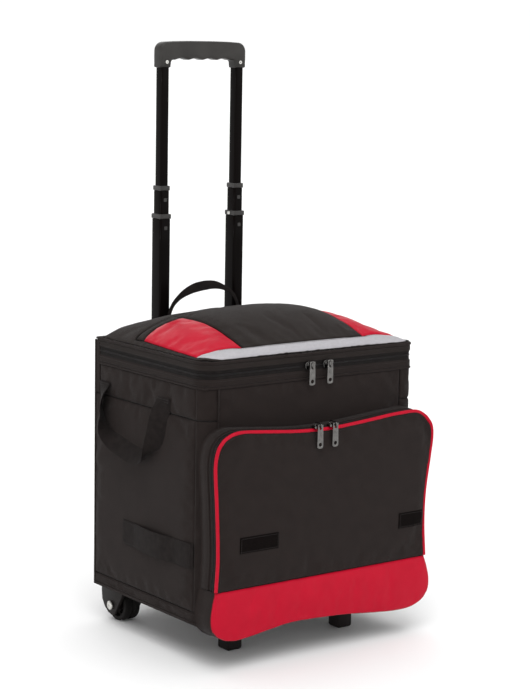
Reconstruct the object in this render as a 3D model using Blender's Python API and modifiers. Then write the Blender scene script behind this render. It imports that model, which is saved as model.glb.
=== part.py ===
# Soft-sided cooler on wheels: an insulated bag with a zipped lid, a zipped front
# pocket, webbing handles, two rear wheels, two front feet and a telescopic tow handle.
# Units are metres. X runs to the right, Y to the rear and Z up. The ground is Z = 0.

import math

import bmesh
import bpy
from mathutils import Matrix, Vector

# ---- driving dimensions -------------------------------------------------------------

gap = 0.0003  # clearance between pieces that touch
bag_shift = 0.0115  # puts the whole object's middle, front to back, over the origin

half_width = 0.180
half_depth = 0.136
wall = 0.003  # outer fabric with its backing
floor_z = 0.053  # underside of the bag
rim_z = 0.378  # top edge of the body panels
zip_z = 0.396  # line where the lid parts from the body
lid_edge_z = 0.412
strip_z = 0.411  # underside of the fixed strip behind the lid
back_y = 0.121  # rear face of the insulated compartment
foam = 0.008
liner = 0.0015
dome_rise = 0.041

pocket_half = 0.184
pocket_low = 0.046
pocket_high = 0.318
pocket_back = -half_depth - gap
pocket_face = -0.176
pocket_fold_z = 0.112
pocket_corner = 0.028
piping_radius = 0.0024

tube_x = 0.065
tube_y = 0.141
tube_wall = 0.0009
sleeve_y = 0.159  # rear face of the cover over the tubes

wheel_x = 0.144
wheel_y = 0.110
wheel_radius = 0.024
wheel_width = 0.026
axle_radius = 0.003
foot_x = 0.0976
foot_y = -0.089

# Tow handle: outside size across and front to back, then foot and top, of each stage as it stands.
stages = {
    "outer": (0.0204, 0.0264, 0.0726, 0.4190),
    "lower": (0.0180, 0.0240, 0.2460, 0.5760),
    "middle": (0.0156, 0.0200, 0.2865, 0.6165),
    "upper": (0.0132, 0.0164, 0.4650, 0.8010),
}
collar_tall = 0.007

lid_hinge = Vector((0, back_y + gap, 0.428))
lid_corners = (-half_width, -half_depth), (half_width, back_y)
through_dome = 0.40, 0.47  # heights that a cut through the domed lid runs between
sheet = 0.003  # domed fabric of the lid
webbing = 0.003

# ---- the scene ----------------------------------------------------------------------

for item in list(bpy.data.objects):
    bpy.data.objects.remove(item)

parts = bpy.data.collections.new("wheeled_cooler")
cutters = bpy.data.collections.new("cutters")
bpy.context.scene.collection.children.link(parts)
bpy.context.scene.collection.children.link(cutters)

bag_frame = bpy.data.objects.new("bag_frame", None)
bag_frame.location = (0, bag_shift, 0)
parts.objects.link(bag_frame)


def finish(name, color, roughness, metallic=0.0):
    made = bpy.data.materials.new(name)
    made.use_nodes = True
    shader = made.node_tree.nodes["Principled BSDF"]
    shader.inputs["Base Color"].default_value = (*color, 1)
    shader.inputs["Roughness"].default_value = roughness
    shader.inputs["Metallic"].default_value = metallic
    made.diffuse_color = (*color, 1)
    return made


black_fabric = finish("black_fabric", (0.022, 0.019, 0.018), 0.85)
red_vinyl = finish("red_vinyl", (0.56, 0.012, 0.035), 0.42)
grey_tape = finish("grey_tape", (0.50, 0.51, 0.56), 0.45)
black_webbing = finish("black_webbing", (0.018, 0.017, 0.017), 0.8)
black_plastic = finish("black_plastic", (0.02, 0.02, 0.02), 0.5)
dark_metal = finish("dark_metal", (0.10, 0.10, 0.11), 0.35, 1.0)
black_enamel = finish("black_enamel", (0.012, 0.012, 0.013), 0.25, 0.4)
bright_steel = finish("bright_steel", (0.6, 0.6, 0.6), 0.3, 1.0)
white_foam = finish("white_foam", (0.75, 0.75, 0.73), 0.9)
white_liner = finish("white_liner", (0.68, 0.69, 0.70), 0.4)
tread_rubber = finish("tread_rubber", (0.015, 0.015, 0.015), 0.7)


# ---- modelling helpers --------------------------------------------------------------


def add_object(name, mesh, look, pivot=(0, 0, 0)):
    """Places a mesh drawn in the bag's frame, with its origin moved to the pivot."""
    mesh.transform(Matrix.Translation(-Vector(pivot)))
    item = bpy.data.objects.new(name, mesh)
    item.location = pivot
    item.parent = bag_frame
    if look:
        mesh.materials.append(look)
        parts.objects.link(item)
    else:
        item.hide_render = True
        item.display_type = "WIRE"
        cutters.objects.link(item)
    return item


def mesh_from(shape, name):
    bmesh.ops.recalc_face_normals(shape, faces=shape.faces)
    mesh = bpy.data.meshes.new(name)
    shape.to_mesh(mesh)
    shape.free()
    return mesh


def box_shape(low, high):
    """A bmesh box between two corners."""
    low, high = Vector(low), Vector(high)
    shape = bmesh.new()
    bmesh.ops.create_cube(shape, size=1.0)
    size = Matrix.Diagonal((*(high - low), 1))
    bmesh.ops.transform(shape, matrix=Matrix.Translation((low + high) / 2) @ size, verts=shape.verts)
    return shape


def bevel(item, width, segments=1):
    rounded = item.modifiers.new("rounded_edges", "BEVEL")
    rounded.width = width
    rounded.segments = segments
    rounded.limit_method = "ANGLE"
    return item


def add_box(name, low, high, look, pivot=(0, 0, 0), edge=0.0):
    item = add_object(name, mesh_from(box_shape(low, high), name), look, pivot)
    return bevel(item, edge) if edge else item


def to_space(plane, a, b, height):
    """A point of a flat drawing: the plane names its two axes, the height is along the third."""
    return {"XY": (a, b, height), "XZ": (a, height, b), "YZ": (height, a, b)}[plane]


def add_plate(name, outline, plane, low, high, look, pivot=(0, 0, 0), edge=0.0):
    """A flat outline given thickness from low to high."""
    shape = bmesh.new()
    corners = [shape.verts.new(to_space(plane, a, b, low)) for a, b in outline]
    sheet = shape.faces.new(corners)
    raised = bmesh.ops.extrude_face_region(shape, geom=[sheet])["geom"]
    moved = [piece for piece in raised if isinstance(piece, bmesh.types.BMVert)]
    bmesh.ops.translate(shape, vec=to_space(plane, 0, 0, high - low), verts=moved)
    item = add_object(name, mesh_from(shape, name), look, pivot)
    return bevel(item, edge) if edge else item


def add_shell(name, low, high, thickness, open_sides, look, corner=0.0, pivot=(0, 0, 0)):
    """A box of sheet material, its outside between two corners, with the named sides open."""
    shape = box_shape(low, high)
    directions = {"top": (0, 0, 1), "bottom": (0, 0, -1)}
    open_faces = [
        face for face in shape.faces for side in open_sides if face.normal.dot(directions[side]) > 0.9
    ]
    upright = [edge for edge in shape.edges if abs(edge.verts[0].co.z - edge.verts[1].co.z) > 1e-6]
    bmesh.ops.delete(shape, geom=open_faces, context="FACES_ONLY")
    if corner:
        bmesh.ops.bevel(shape, geom=upright, offset=corner, segments=2, affect="EDGES", profile=0.5)
    item = add_object(name, mesh_from(shape, name), look, pivot)
    sheet = item.modifiers.new("sheet_thickness", "SOLIDIFY")
    sheet.thickness = thickness
    sheet.offset = -1
    sheet.use_even_offset = True
    return item


def add_bar(name, start, end, radius, look, sides=16, pivot=(0, 0, 0)):
    """A round bar between two points."""
    start, end = Vector(start), Vector(end)
    along = end - start
    shape = bmesh.new()
    bmesh.ops.create_cone(
        shape, cap_ends=True, segments=sides, radius1=radius, radius2=radius, depth=along.length
    )
    turn = along.to_track_quat("Z", "Y").to_matrix().to_4x4()
    middle = Matrix.Translation((start + end) / 2)
    bmesh.ops.transform(shape, matrix=middle @ turn, verts=shape.verts)
    return add_object(name, mesh_from(shape, name), look, pivot)


def combine(item, other, operation, solver="EXACT"):
    step = item.modifiers.new(operation.lower(), "BOOLEAN")
    step.operation = operation
    step.object = other
    step.solver = solver
    return item


def cut(item, other):
    return combine(item, other, "DIFFERENCE")


def join(item, other):
    return combine(item, other, "UNION")


def helper_box(name, low, high):
    return add_box(name, low, high, None)


def helper_bar(name, start, end, radius, sides=16):
    return add_bar(name, start, end, radius, None, sides)


def arc(centre_a, centre_b, radius, first, last, steps):
    """Points along an arc, angles in degrees."""
    angles = [math.radians(first + (last - first) * i / steps) for i in range(steps + 1)]
    return [(centre_a + radius * math.cos(t), centre_b + radius * math.sin(t)) for t in angles]


def mirrored(half):
    """Closes an outline that is drawn for one side only."""
    return half + [(-a, b) for a, b in reversed(half)]


def sides_of():
    """The two sides, left first, each with the sign of its X."""
    return (("left", -1), ("right", 1))


# ---- the insulated body -------------------------------------------------------------


def make_body():
    inner = half_width - wall
    plan = mirrored([(half_width, -half_depth)] + sleeve_outline())
    add_plate("bottom_panel", plan, "XY", floor_z, floor_z + wall, black_fabric)
    low = floor_z + wall + gap
    add_box("front_panel", (-half_width, -half_depth, low),
            (half_width, -half_depth + wall, rim_z), black_fabric)
    add_box("rear_panel", (-inner + gap, back_y - wall, low),
            (inner - gap, back_y, strip_z - gap), black_fabric)
    front, rear = -half_depth + wall + gap, half_depth - wall - gap
    step_y = back_y + 2 * gap
    side = [(front, low), (rear, low), (rear, strip_z - gap), (step_y, strip_z - gap),
            (step_y, rim_z), (front, rim_z)]
    for label, sign in sides_of():
        near, far = sorted((sign * inner, sign * half_width))
        add_plate(f"{label}_panel", side, "YZ", near, far, black_fabric)
    board_y = back_y - wall - gap
    add_box("base_board", (-0.170, -0.130, low + gap), (0.170, board_y, low + 0.0048), black_plastic)
    foam_low = low + 0.0055
    add_shell("foam_box", (-inner + 2 * gap, front, foam_low), (inner - 2 * gap, board_y, 0.374),
              foam, ["top"], white_foam)
    inset = foam + gap
    add_shell("inner_liner", (-inner + inset + 2 * gap, front + inset, foam_low + inset),
              (inner - inset - 2 * gap, board_y - inset, 0.377), liner, ["top"], white_liner)


def rim_outline():
    """Plan of a band that runs along the left side, the front and the right side."""
    outer = mirrored([(half_width, back_y), (half_width, -half_depth)])
    inner = mirrored([(half_width - wall, back_y), (half_width - wall, -half_depth + wall)])
    return outer + inner[::-1]


def sleeve_outline():
    """Plan of the rear cover's outer face, which bulges over the tubes."""
    return [(half_width, half_depth), (0.096, half_depth), (0.086, sleeve_y)]


def make_rear():
    outer = mirrored(sleeve_outline())
    inner = mirrored([(half_width, half_depth - wall), (0.0945, half_depth - wall),
                      (0.0845, sleeve_y - wall)])
    add_plate("rear_cover", outer + inner[::-1], "XY", floor_z + wall + gap, strip_z - gap, black_fabric)
    front = back_y + 2 * gap
    plan = mirrored([(half_width, front)] + sleeve_outline())
    strip = add_plate("rear_strip", plan, "XY", strip_z, strip_z + 0.0035, black_fabric)
    across, deep = stages["outer"][0] / 2 + 2 * gap, stages["outer"][1] / 2 + 2 * gap
    for label, sign in sides_of():
        x = sign * tube_x
        cut(strip, helper_box(f"{label}_strip_hole", (x - across, tube_y - deep, strip_z - 0.01),
                              (x + across, tube_y + deep, strip_z + 0.01)))


# ---- the lid ------------------------------------------------------------------------


def dome_height(x, y):
    """Height of the stuffed lid's top above a point of its plan."""
    along = (y + half_depth) / (back_y + half_depth)
    wave = math.sin(math.pi * min(max(along, 0.0), 1.0))
    lengthwise = wave if along < 0.5 else wave**0.75
    across = 1 - min(abs(x) / half_width, 1.0) ** 2.6
    return lid_edge_z + gap + 0.0032 + dome_rise * across * lengthwise


def add_dome(name, low, high, look, flat_base=None):
    """A domed sheet, or a domed foam slab where flat_base gives the height of its flat underside."""
    below_panel = sheet + 0.002 if flat_base else 0
    shape = bmesh.new()
    bmesh.ops.create_grid(shape, x_segments=13, y_segments=11, size=0.5)
    for point in shape.verts:
        x = low[0] + (point.co.x + 0.5) * (high[0] - low[0])
        y = low[1] + (point.co.y + 0.5) * (high[1] - low[1])
        point.co = (x, y, dome_height(x, y) - below_panel)
    made = bmesh.ops.extrude_face_region(shape, geom=list(shape.faces))["geom"]
    for point in [piece for piece in made if isinstance(piece, bmesh.types.BMVert)]:
        point.co.z = flat_base or point.co.z - sheet
    return add_object(name, mesh_from(shape, name), look, lid_hinge)


def wing_outline(sign, grow=0.0):
    """Plan of one coloured wing of the lid, from the front strip back to its rear arc."""
    inner, outer, front = 0.092 - grow, 0.162 + grow, -0.1085 - grow
    rear_arc = [(outer, 0.028), (0.1463, 0.0421), (0.1213, 0.0521), (inner - 0.006, 0.060)]
    sides = [(inner, -0.020), (inner + 0.004, front), (outer, front)]
    points = [(a, b + grow) for a, b in rear_arc] + sides
    if sign < 0:
        points.reverse()
    return [(sign * a, b) for a, b in points]


def cut_panel(panel, name, plan):
    """Takes a flat plan out of the domed centre panel."""
    combine(panel, add_plate(name, plan, "XY", *through_dome, None), "DIFFERENCE", "MANIFOLD")


def add_patch(name, plan, look):
    """A piece of the domed sheet inside a flat plan."""
    patch = add_dome(name, *lid_corners, look)
    combine(patch, add_plate(f"{name}_plan", plan, "XY", *through_dome, None), "INTERSECT")


def strip_outline(grow=0.0):
    half, front, rear = 0.168 + grow, -0.1328 - grow, -0.110 + grow
    return [(-half, front), (half, front), (half, rear), (-half, rear)]


def make_lid():
    add_plate("lid_band", rim_outline(), "XY", zip_z + gap, lid_edge_z, black_fabric, lid_hinge)
    add_plate("body_zip_band", rim_outline(), "XY", rim_z + gap, zip_z, black_fabric)
    panel = add_dome("lid_panel", *lid_corners, black_fabric)
    add_patch("lid_strip", strip_outline(), grey_tape)
    cut_panel(panel, "strip_room", strip_outline(gap))
    for label, sign in sides_of():
        add_patch(f"lid_{label}_wing", wing_outline(sign), red_vinyl)
        cut_panel(panel, f"{label}_wing_room", wing_outline(sign, gap))
    edge = 0.006
    low = (-half_width + edge, -half_depth + edge)
    high = (half_width - edge, back_y - 2 * edge)
    liner_low, liner_high = zip_z + 0.001, zip_z + 0.003
    add_box("lid_liner", (*low, liner_low), (*high, liner_high), white_liner, lid_hinge)
    add_dome("lid_foam", low, high, white_foam, liner_high + 0.0005)


# ---- the front pocket ---------------------------------------------------------------


def pocket_outline(inset, low=pocket_low, high=pocket_high):
    """Front view of the pocket with rounded corners."""
    radius = pocket_corner - inset
    a, low_centre, high_centre = pocket_half - pocket_corner, low + pocket_corner, high - pocket_corner
    right = arc(a, low_centre, radius, -90, 0, 5) + arc(a, high_centre, radius, 0, 90, 5)
    return mirrored(right)


def make_pocket():
    face_back = pocket_face + 0.005
    ring_front = face_back + gap
    gusset = add_plate("pocket_gusset", pocket_outline(0), "XZ", ring_front, pocket_back, black_fabric)
    room = add_plate("pocket_inside", pocket_outline(wall), "XZ", ring_front - 0.01, pocket_back + 0.01, None)
    cut(gusset, room)
    seam = pocket_fold_z - gap
    below = [p for p in pocket_outline(0) if p[1] < seam]
    left = sorted((p for p in below if p[0] < 0), key=lambda p: -p[1])
    right = sorted((p for p in below if p[0] > 0), key=lambda p: p[1])
    base = [(-pocket_half, seam), *left, *right, (pocket_half, seam)]
    add_plate("pocket_base", base, "XZ", pocket_face, face_back, red_vinyl)
    inset = 2 * piping_radius + 0.0008
    edge_x = pocket_half - inset
    above = [p for p in pocket_outline(inset) if p[1] > pocket_fold_z]
    flap = [(-edge_x, pocket_fold_z), (edge_x, pocket_fold_z)] + above
    hinge = (0, pocket_face, pocket_fold_z)
    add_plate("pocket_flap", flap, "XZ", pocket_face, face_back, black_fabric, hinge)
    make_piping(hinge)


def make_piping(hinge):
    """A cord of piping round the flap, up one side, over the top and down the other."""
    centre_y = pocket_face + 0.0020
    foot_x, foot_z = pocket_half - piping_radius, pocket_fold_z + 0.002
    rounded = [p for p in pocket_outline(piping_radius) if p[1] > pocket_fold_z + 0.01]
    right = [p for p in rounded if p[0] > 0]
    left = [p for p in rounded if p[0] < 0]
    route = [(foot_x, foot_z), *right, *left, (-foot_x, foot_z)]
    line = bpy.data.curves.new("piping_route", "CURVE")
    line.dimensions = "3D"
    line.bevel_depth = piping_radius
    line.bevel_resolution = 1
    line.use_fill_caps = True
    spline = line.splines.new("POLY")
    spline.points.add(len(route) - 1)
    for point, (a, b) in zip(spline.points, route):
        point.co = (a, centre_y - hinge[1], b - hinge[2], 1)
    line.materials.append(red_vinyl)
    item = bpy.data.objects.new("pocket_piping", line)
    item.location = hinge
    item.parent = bag_frame
    parts.objects.link(item)


# ---- zip sliders and their pulls ----------------------------------------------------


def make_slider(name, x, faces, heights, pivot, tip_z, origin):
    """A slider with two ears and a pin, and the pull tab that swings on the pin.

    faces are its front and back, heights its foot and top, and pivot the pin's place."""
    pivot_y, pivot_z = pivot
    half, tab = 0.0055, 0.0033
    body = add_box(f"{name}_slider", (x - half, faces[0], heights[0]), (x + half, faces[1], heights[1]),
                   dark_metal, (x, *origin))
    for label, sign in sides_of():
        near, far = sorted((x + sign * half, x + sign * 0.0040))
        join(body, helper_box(f"{name}_{label}_ear", (near, pivot_y - 0.0016, pivot_z - 0.0016),
                              (far, faces[0] + 0.001, pivot_z + 0.0016)))
    join(body, helper_bar(f"{name}_pin", (x - 0.0045, *pivot), (x + 0.0045, *pivot), 0.0008, 8))
    pull = add_box(f"{name}_pull", (x - tab, pivot_y - 0.0011, tip_z), (x + tab, pivot_y + 0.0011, pivot_z),
                   dark_metal, (x, *pivot))
    join(pull, helper_bar(f"{name}_knuckle", (x - tab, *pivot), (x + tab, *pivot), 0.0021, 12))
    cut(pull, helper_bar(f"{name}_eye", (x - 2 * tab, *pivot), (x + 2 * tab, *pivot), 0.0012, 12))
    hole_z = tip_z + 0.006
    cut(pull, helper_bar(f"{name}_tip_hole", (x, pivot_y - 0.01, hole_z), (x, pivot_y + 0.01, hole_z),
                         0.0018, 10))


def make_sliders():
    """Two sliders on the lid's zip, in front of the band, and two on top of the pocket's gusset."""
    back = -half_depth - 2 * gap
    faces, heights = (back - 0.0052, back), (zip_z - 0.0045, zip_z + 0.006)
    pivot = (faces[0] - 0.0037, zip_z + 0.005)
    for label, x in (("lid_left", -0.007), ("lid_right", 0.024)):
        make_slider(label, x, faces, heights, pivot, pivot[1] - 0.031, (back, zip_z))
    low = pocket_high + 2 * gap
    faces, heights = (pocket_face - 0.0015, pocket_face + 0.0100), (low, low + 0.005)
    pivot = (faces[0] - 0.0037, low + 0.0024)
    for label, x in (("pocket_left", -0.019), ("pocket_right", 0.007)):
        make_slider(label, x, faces, heights, pivot, pivot[1] - 0.031, (faces[1], low))


# ---- webbing handles and straps -----------------------------------------------------


def make_side_handles():
    """Flat loops of webbing that hang from the seam on each side."""
    front_y, rear_y, leg = -0.045, 0.104, 0.017
    top_z, low_z, hand_z = 0.352, 0.279, 0.304
    outline = [(front_y - leg, top_z), (front_y - leg, low_z + 0.016), (front_y - leg + 0.016, low_z),
               (rear_y + leg - 0.016, low_z), (rear_y + leg, low_z + 0.016), (rear_y + leg, top_z),
               (rear_y - leg, top_z), (rear_y - leg, hand_z + 0.010), (rear_y - leg - 0.010, hand_z),
               (front_y + leg + 0.010, hand_z), (front_y + leg, hand_z + 0.010), (front_y + leg, top_z)]
    for label, sign in sides_of():
        near, far = sorted((sign * (half_width + 0.005), sign * (half_width + 0.010)))
        pivot = (sign * (half_width + 0.0075), 0, top_z)
        add_plate(f"{label}_side_handle", outline, "YZ", near, far, black_webbing, pivot)


def make_side_straps():
    """A strap sewn flat at both ends, standing off the wall between its stitch lines."""
    low_z, high_z = 0.131, 0.166
    proud = 0.0085
    for label, sign in sides_of():
        face = half_width + gap
        outer = [(0.051, face + webbing), (0.020, face + webbing), (0.006, face + proud),
                 (-0.062, face + proud), (-0.076, face + webbing), (-0.120, face + webbing)]
        inner = [(-0.120, face), (-0.0745, face), (-0.0605, face + proud - webbing),
                 (0.0045, face + proud - webbing), (0.0185, face), (0.051, face)]
        plan = [(sign * b, a) for a, b in outer + inner]
        add_plate(f"{label}_side_strap", plan, "XY", low_z, high_z, black_webbing)


def make_haul_handle():
    """An arch of webbing behind the lid, in front of the tubes, which folds forward on its front edge."""
    base_z, rise, half_span, steps = strip_z + 0.0042, 0.068, 0.066, 12
    section = 0.009  # width of the arch seen from the front
    front = back_y + 3 * gap
    outer, inner = [], []
    for i in range(steps + 1):
        t = math.pi * i / steps
        a, b = math.cos(t), math.sin(t) ** 0.8
        outer.append((half_span * a, base_z + rise * b))
        inner.append(((half_span - section) * a, base_z + (rise - section) * b))
    add_plate("haul_handle", outer + inner[::-1], "XZ", front, front + webbing, black_webbing,
              (0, front, base_z))


# ---- telescopic handle --------------------------------------------------------------

def make_tube(label, sign, stage):
    across, deep, foot, top = stages[stage]
    centre = Vector((sign * tube_x, tube_y, 0))
    half = Vector((across / 2, deep / 2, 0))
    low, high = centre - half + Vector((0, 0, foot)), centre + half + Vector((0, 0, top))
    corner = 0.003
    add_shell(f"{label}_{stage}_tube", low, high, tube_wall, ["top", "bottom"], black_enamel, corner)


def make_collar(label, sign, stage, inner_stage):
    """A moulded collar on the top of one stage, round the next one."""
    across, deep, _, top = stages[stage]
    through_x, through_y = stages[inner_stage][0] + 2 * gap, stages[inner_stage][1] + 2 * gap
    x = sign * tube_x
    lip = 0.0004
    low = Vector((x - across / 2 - lip, tube_y - deep / 2 - lip, top + gap))
    high = Vector((x + across / 2 + lip, tube_y + deep / 2 + lip, top + gap + collar_tall))
    collar = add_box(f"{label}_{stage}_collar", low, high, black_plastic, edge=0.001)
    cut(collar, helper_box(f"{label}_{stage}_collar_bore",
                           (x - through_x / 2, tube_y - through_y / 2, top - 0.01),
                           (x + through_x / 2, tube_y + through_y / 2, top + 0.02)))
    return collar


def make_lock_button(label, sign, collar):
    """A sprung button in the inward side of the lower collar."""
    across, _, _, top = stages["lower"]
    inner_half = stages["middle"][0] / 2
    low_z, high_z = top + 0.0016, top + 0.0058
    inward = -sign
    x, half_y, play = sign * tube_x, 0.0029, 0.0004
    room = sorted((x + inward * (inner_half - 0.001), x + inward * (inner_half + 0.01)))
    cut(collar, helper_box(f"{label}_button_slot", (room[0], tube_y - half_y - play, low_z - play),
                           (room[1], tube_y + half_y + play, high_z + play)))
    foot_x, tip_x = x + inward * (inner_half + 0.0016), x + inward * (inner_half + 0.0032)
    near, far = sorted((foot_x, tip_x))
    add_box(f"{label}_lock_button", (near, tube_y - half_y, low_z), (far, tube_y + half_y, high_z),
            bright_steel, (foot_x, tube_y, (low_z + high_z) / 2))


def grip_outline():
    """Right half of the grip's front view: crowned top, round end and finger hollows below."""
    half, low, high, crown = 0.0750, 0.792, 0.829, 0.8300
    roof, hollow_pitch, hollow_depth, leg_x = 0.8030, 0.0245, 0.0025, 0.0562
    hollows = []
    for i in (0, 1):
        for k in (3, 2, 1, 0):
            t = math.pi * k / 4
            along = hollow_pitch * (i + 0.5) + hollow_pitch / 2 * math.cos(t)
            hollows.append((along, roof + hollow_depth * math.sin(t)))
    corner = 0.012
    round_end = arc(half - corner, high - corner - 0.0015, corner, 20, 80, 3)
    leg = [(leg_x, roof), (leg_x, low), (half, low), (half, high - corner - 0.002)]
    return [(0.0, roof)] + hollows + leg + round_end + [(0.045, high - 0.0006), (0.0, crown)]


def make_grip():
    right = grip_outline()
    left = [(-a, b) for a, b in reversed(right) if a > 0]
    half_deep = 0.0104
    grip = add_plate("grip", right + left, "XZ", tube_y - half_deep, tube_y + half_deep, black_plastic)
    across, deep, foot, high = stages["upper"]
    for label, sign in sides_of():
        x = sign * tube_x
        cut(grip, helper_box(f"{label}_grip_socket",
                             (x - across / 2 - gap, tube_y - deep / 2 - gap, foot),
                             (x + across / 2 + gap, tube_y + deep / 2 + gap, high + gap)))


def make_tow_handle():
    for label, sign in sides_of():
        for stage in stages:
            make_tube(label, sign, stage)
        collar = make_collar(label, sign, "lower", "middle")
        make_lock_button(label, sign, collar)
        make_collar(label, sign, "middle", "upper")
    make_grip()
    across, deep, foot, _ = stages["outer"]
    bracket_half, bracket_front, bracket_rear = 0.084, 0.1225, 0.1550
    bracket = add_box("handle_bracket", (-bracket_half, bracket_front, floor_z + wall + gap),
                      (bracket_half, bracket_rear, foot - gap), black_plastic, edge=0.002)
    inside = (across / 2 - 2 * tube_wall, deep / 2 - 2 * tube_wall)
    for label, sign in sides_of():
        plug = helper_box(f"{label}_plug", (sign * tube_x - inside[0], tube_y - inside[1], foot - 0.006),
                          (sign * tube_x + inside[0], tube_y + inside[1], foot + 0.016))
        join(bracket, plug)


# ---- wheels and feet ----------------------------------------------------------------


def make_wheel(label, sign):
    """A turned wheel with a grooved tread, dished sides and a bore."""
    bore, hub, rim = axle_radius + 0.0004, 0.009, 0.018
    dish, edge, groove = 0.003, 0.0015, 0.0012
    half = wheel_width / 2
    one_side = [(bore, half), (hub, half), (hub, half - dish), (rim, half - dish), (rim, half),
                (wheel_radius - edge, half), (wheel_radius, half - edge), (wheel_radius, groove + 0.0008),
                (wheel_radius - edge, groove)]
    profile = one_side + [(r, -along) for r, along in reversed(one_side)]
    shape = bmesh.new()
    points = [shape.verts.new((r, 0, along)) for r, along in profile]
    for first, second in zip(points, points[1:] + points[:1]):
        shape.edges.new((first, second))
    mesh = bpy.data.meshes.new(f"{label}_wheel")
    shape.to_mesh(mesh)
    shape.free()
    wheel = bpy.data.objects.new(f"{label}_wheel", mesh)
    mesh.materials.append(tread_rubber)
    turned = wheel.modifiers.new("turned", "SCREW")
    turned.steps = 28
    turned.render_steps = 28
    turned.use_merge_vertices = True
    turned.merge_threshold = 0.00001
    turned.use_normal_calculate = True
    wheel.rotation_euler = (0, math.pi / 2, 0)
    wheel.location = (sign * wheel_x, wheel_y, wheel_radius)
    wheel.parent = bag_frame
    parts.objects.link(wheel)


# Wheel housings: faces towards and away from the bag's middle, cheeks and roof.
housing_in, housing_out = 0.1245, 0.1655
inner_cheek, outer_cheek = 0.003, 0.005
housing_roof = 0.0495


def make_housing(label, sign):
    """A moulded bracket with a cheek on each side of the wheel."""
    top, low = floor_z - gap, 0.0095
    front, rear = 0.083, 0.1365
    outline = [(front, top), (front, 0.042), (0.100, low + 0.006), (0.104, low + 0.001), (wheel_y, low),
               (0.118, low + 0.002), (0.128, 0.018), (0.135, 0.028), (rear, 0.040), (rear, top)]
    near, far = sorted((sign * housing_in, sign * housing_out))
    housing = add_plate(f"{label}_wheel_housing", outline, "YZ", near, far, black_plastic)
    slot = sorted((sign * (housing_in + inner_cheek), sign * (housing_out - outer_cheek)))
    cut(housing, helper_box(f"{label}_wheel_slot", (slot[0], front - 0.03, -0.01),
                            (slot[1], rear + 0.03, housing_roof)))
    cut(housing, helper_bar(f"{label}_axle_hole", (sign * (housing_in - 0.02), wheel_y, wheel_radius),
                            (sign * (housing_out + 0.02), wheel_y, wheel_radius), axle_radius + gap))


def make_axle(label, sign):
    """A bolt through both cheeks, with a round head outside."""
    head_face = housing_out + 0.0004
    axle = add_bar(f"{label}_axle", (sign * (housing_in - 0.002), wheel_y, wheel_radius),
                   (sign * (head_face + 0.0016), wheel_y, wheel_radius), axle_radius, bright_steel)
    join(axle, helper_bar(f"{label}_axle_head", (sign * head_face, wheel_y, wheel_radius),
                          (sign * (head_face + 0.0031), wheel_y, wheel_radius), 0.0065))


def make_foot(label, sign):
    """A block with bevelled edges under the front of the bag."""
    half = 0.013
    add_box(f"{label}_foot", (sign * foot_x - half, foot_y - half, 0),
            (sign * foot_x + half, foot_y + half, floor_z - gap), black_plastic, edge=0.003)


make_body()
make_rear()
make_lid()
make_pocket()
make_sliders()
make_side_handles()
make_side_straps()
make_haul_handle()
make_tow_handle()
for side_label, side_sign in sides_of():
    make_wheel(side_label, side_sign)
    make_housing(side_label, side_sign)
    make_axle(side_label, side_sign)
    make_foot(side_label, side_sign)
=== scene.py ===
import math

import bmesh
import bpy
import numpy as np
from mathutils import Matrix, Vector
from mathutils.bvhtree import BVHTree


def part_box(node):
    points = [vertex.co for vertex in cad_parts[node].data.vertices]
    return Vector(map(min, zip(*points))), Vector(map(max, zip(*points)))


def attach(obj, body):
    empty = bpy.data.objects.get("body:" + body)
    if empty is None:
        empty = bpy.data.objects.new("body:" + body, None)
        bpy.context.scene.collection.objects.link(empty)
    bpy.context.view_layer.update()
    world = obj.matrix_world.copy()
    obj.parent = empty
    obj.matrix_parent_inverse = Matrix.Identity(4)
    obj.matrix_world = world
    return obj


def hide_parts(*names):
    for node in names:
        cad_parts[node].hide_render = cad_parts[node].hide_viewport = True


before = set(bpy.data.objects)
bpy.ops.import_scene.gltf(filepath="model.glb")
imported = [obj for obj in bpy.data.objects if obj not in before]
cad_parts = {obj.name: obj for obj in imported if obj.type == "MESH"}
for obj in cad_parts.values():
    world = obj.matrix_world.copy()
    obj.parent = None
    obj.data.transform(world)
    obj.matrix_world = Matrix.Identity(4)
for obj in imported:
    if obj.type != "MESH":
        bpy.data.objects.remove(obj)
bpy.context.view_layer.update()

# Meshes are drawn in millimetres round the bag's own middle, then scaled and moved to the bag.
mm = 0.001
bagY = (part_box("body_zip_band")[0].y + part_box("rear_cover")[1].y) / 2 - 0.0115


def corner(node, high):
    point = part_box(node)[high] - Vector((0, bagY, 0))
    return point / mm


# Driving sizes, read from the frame.
bag = {
    "halfWide": corner("left_panel", 0).x * -1,
    "front": corner("front_panel", 0).y,
    "back": corner("rear_panel", 1).y,
    "rear": corner("left_panel", 1).y,
    "sleeveRear": corner("rear_cover", 1).y,
    "floor": corner("front_panel", 0).z,
    "rim": corner("front_panel", 1).z,
    "zip": corner("body_zip_band", 1).z,
    "lidEdge": corner("lid_band", 1).z,
    "stripLow": corner("rear_strip", 0).z,
    "cornerRadius": 26,
    "rightCornerRadius": 9,
}
print("driving sizes", {key: round(value, 1) for key, value in bag.items()})


cameraSetup = {"lens": 105.43, "distance": 2894.7, "azimuth": -36.76, "elevation": 8.93, "roll": 1.02,
               "aim": (31.87, 15.21, 401.69)}


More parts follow.
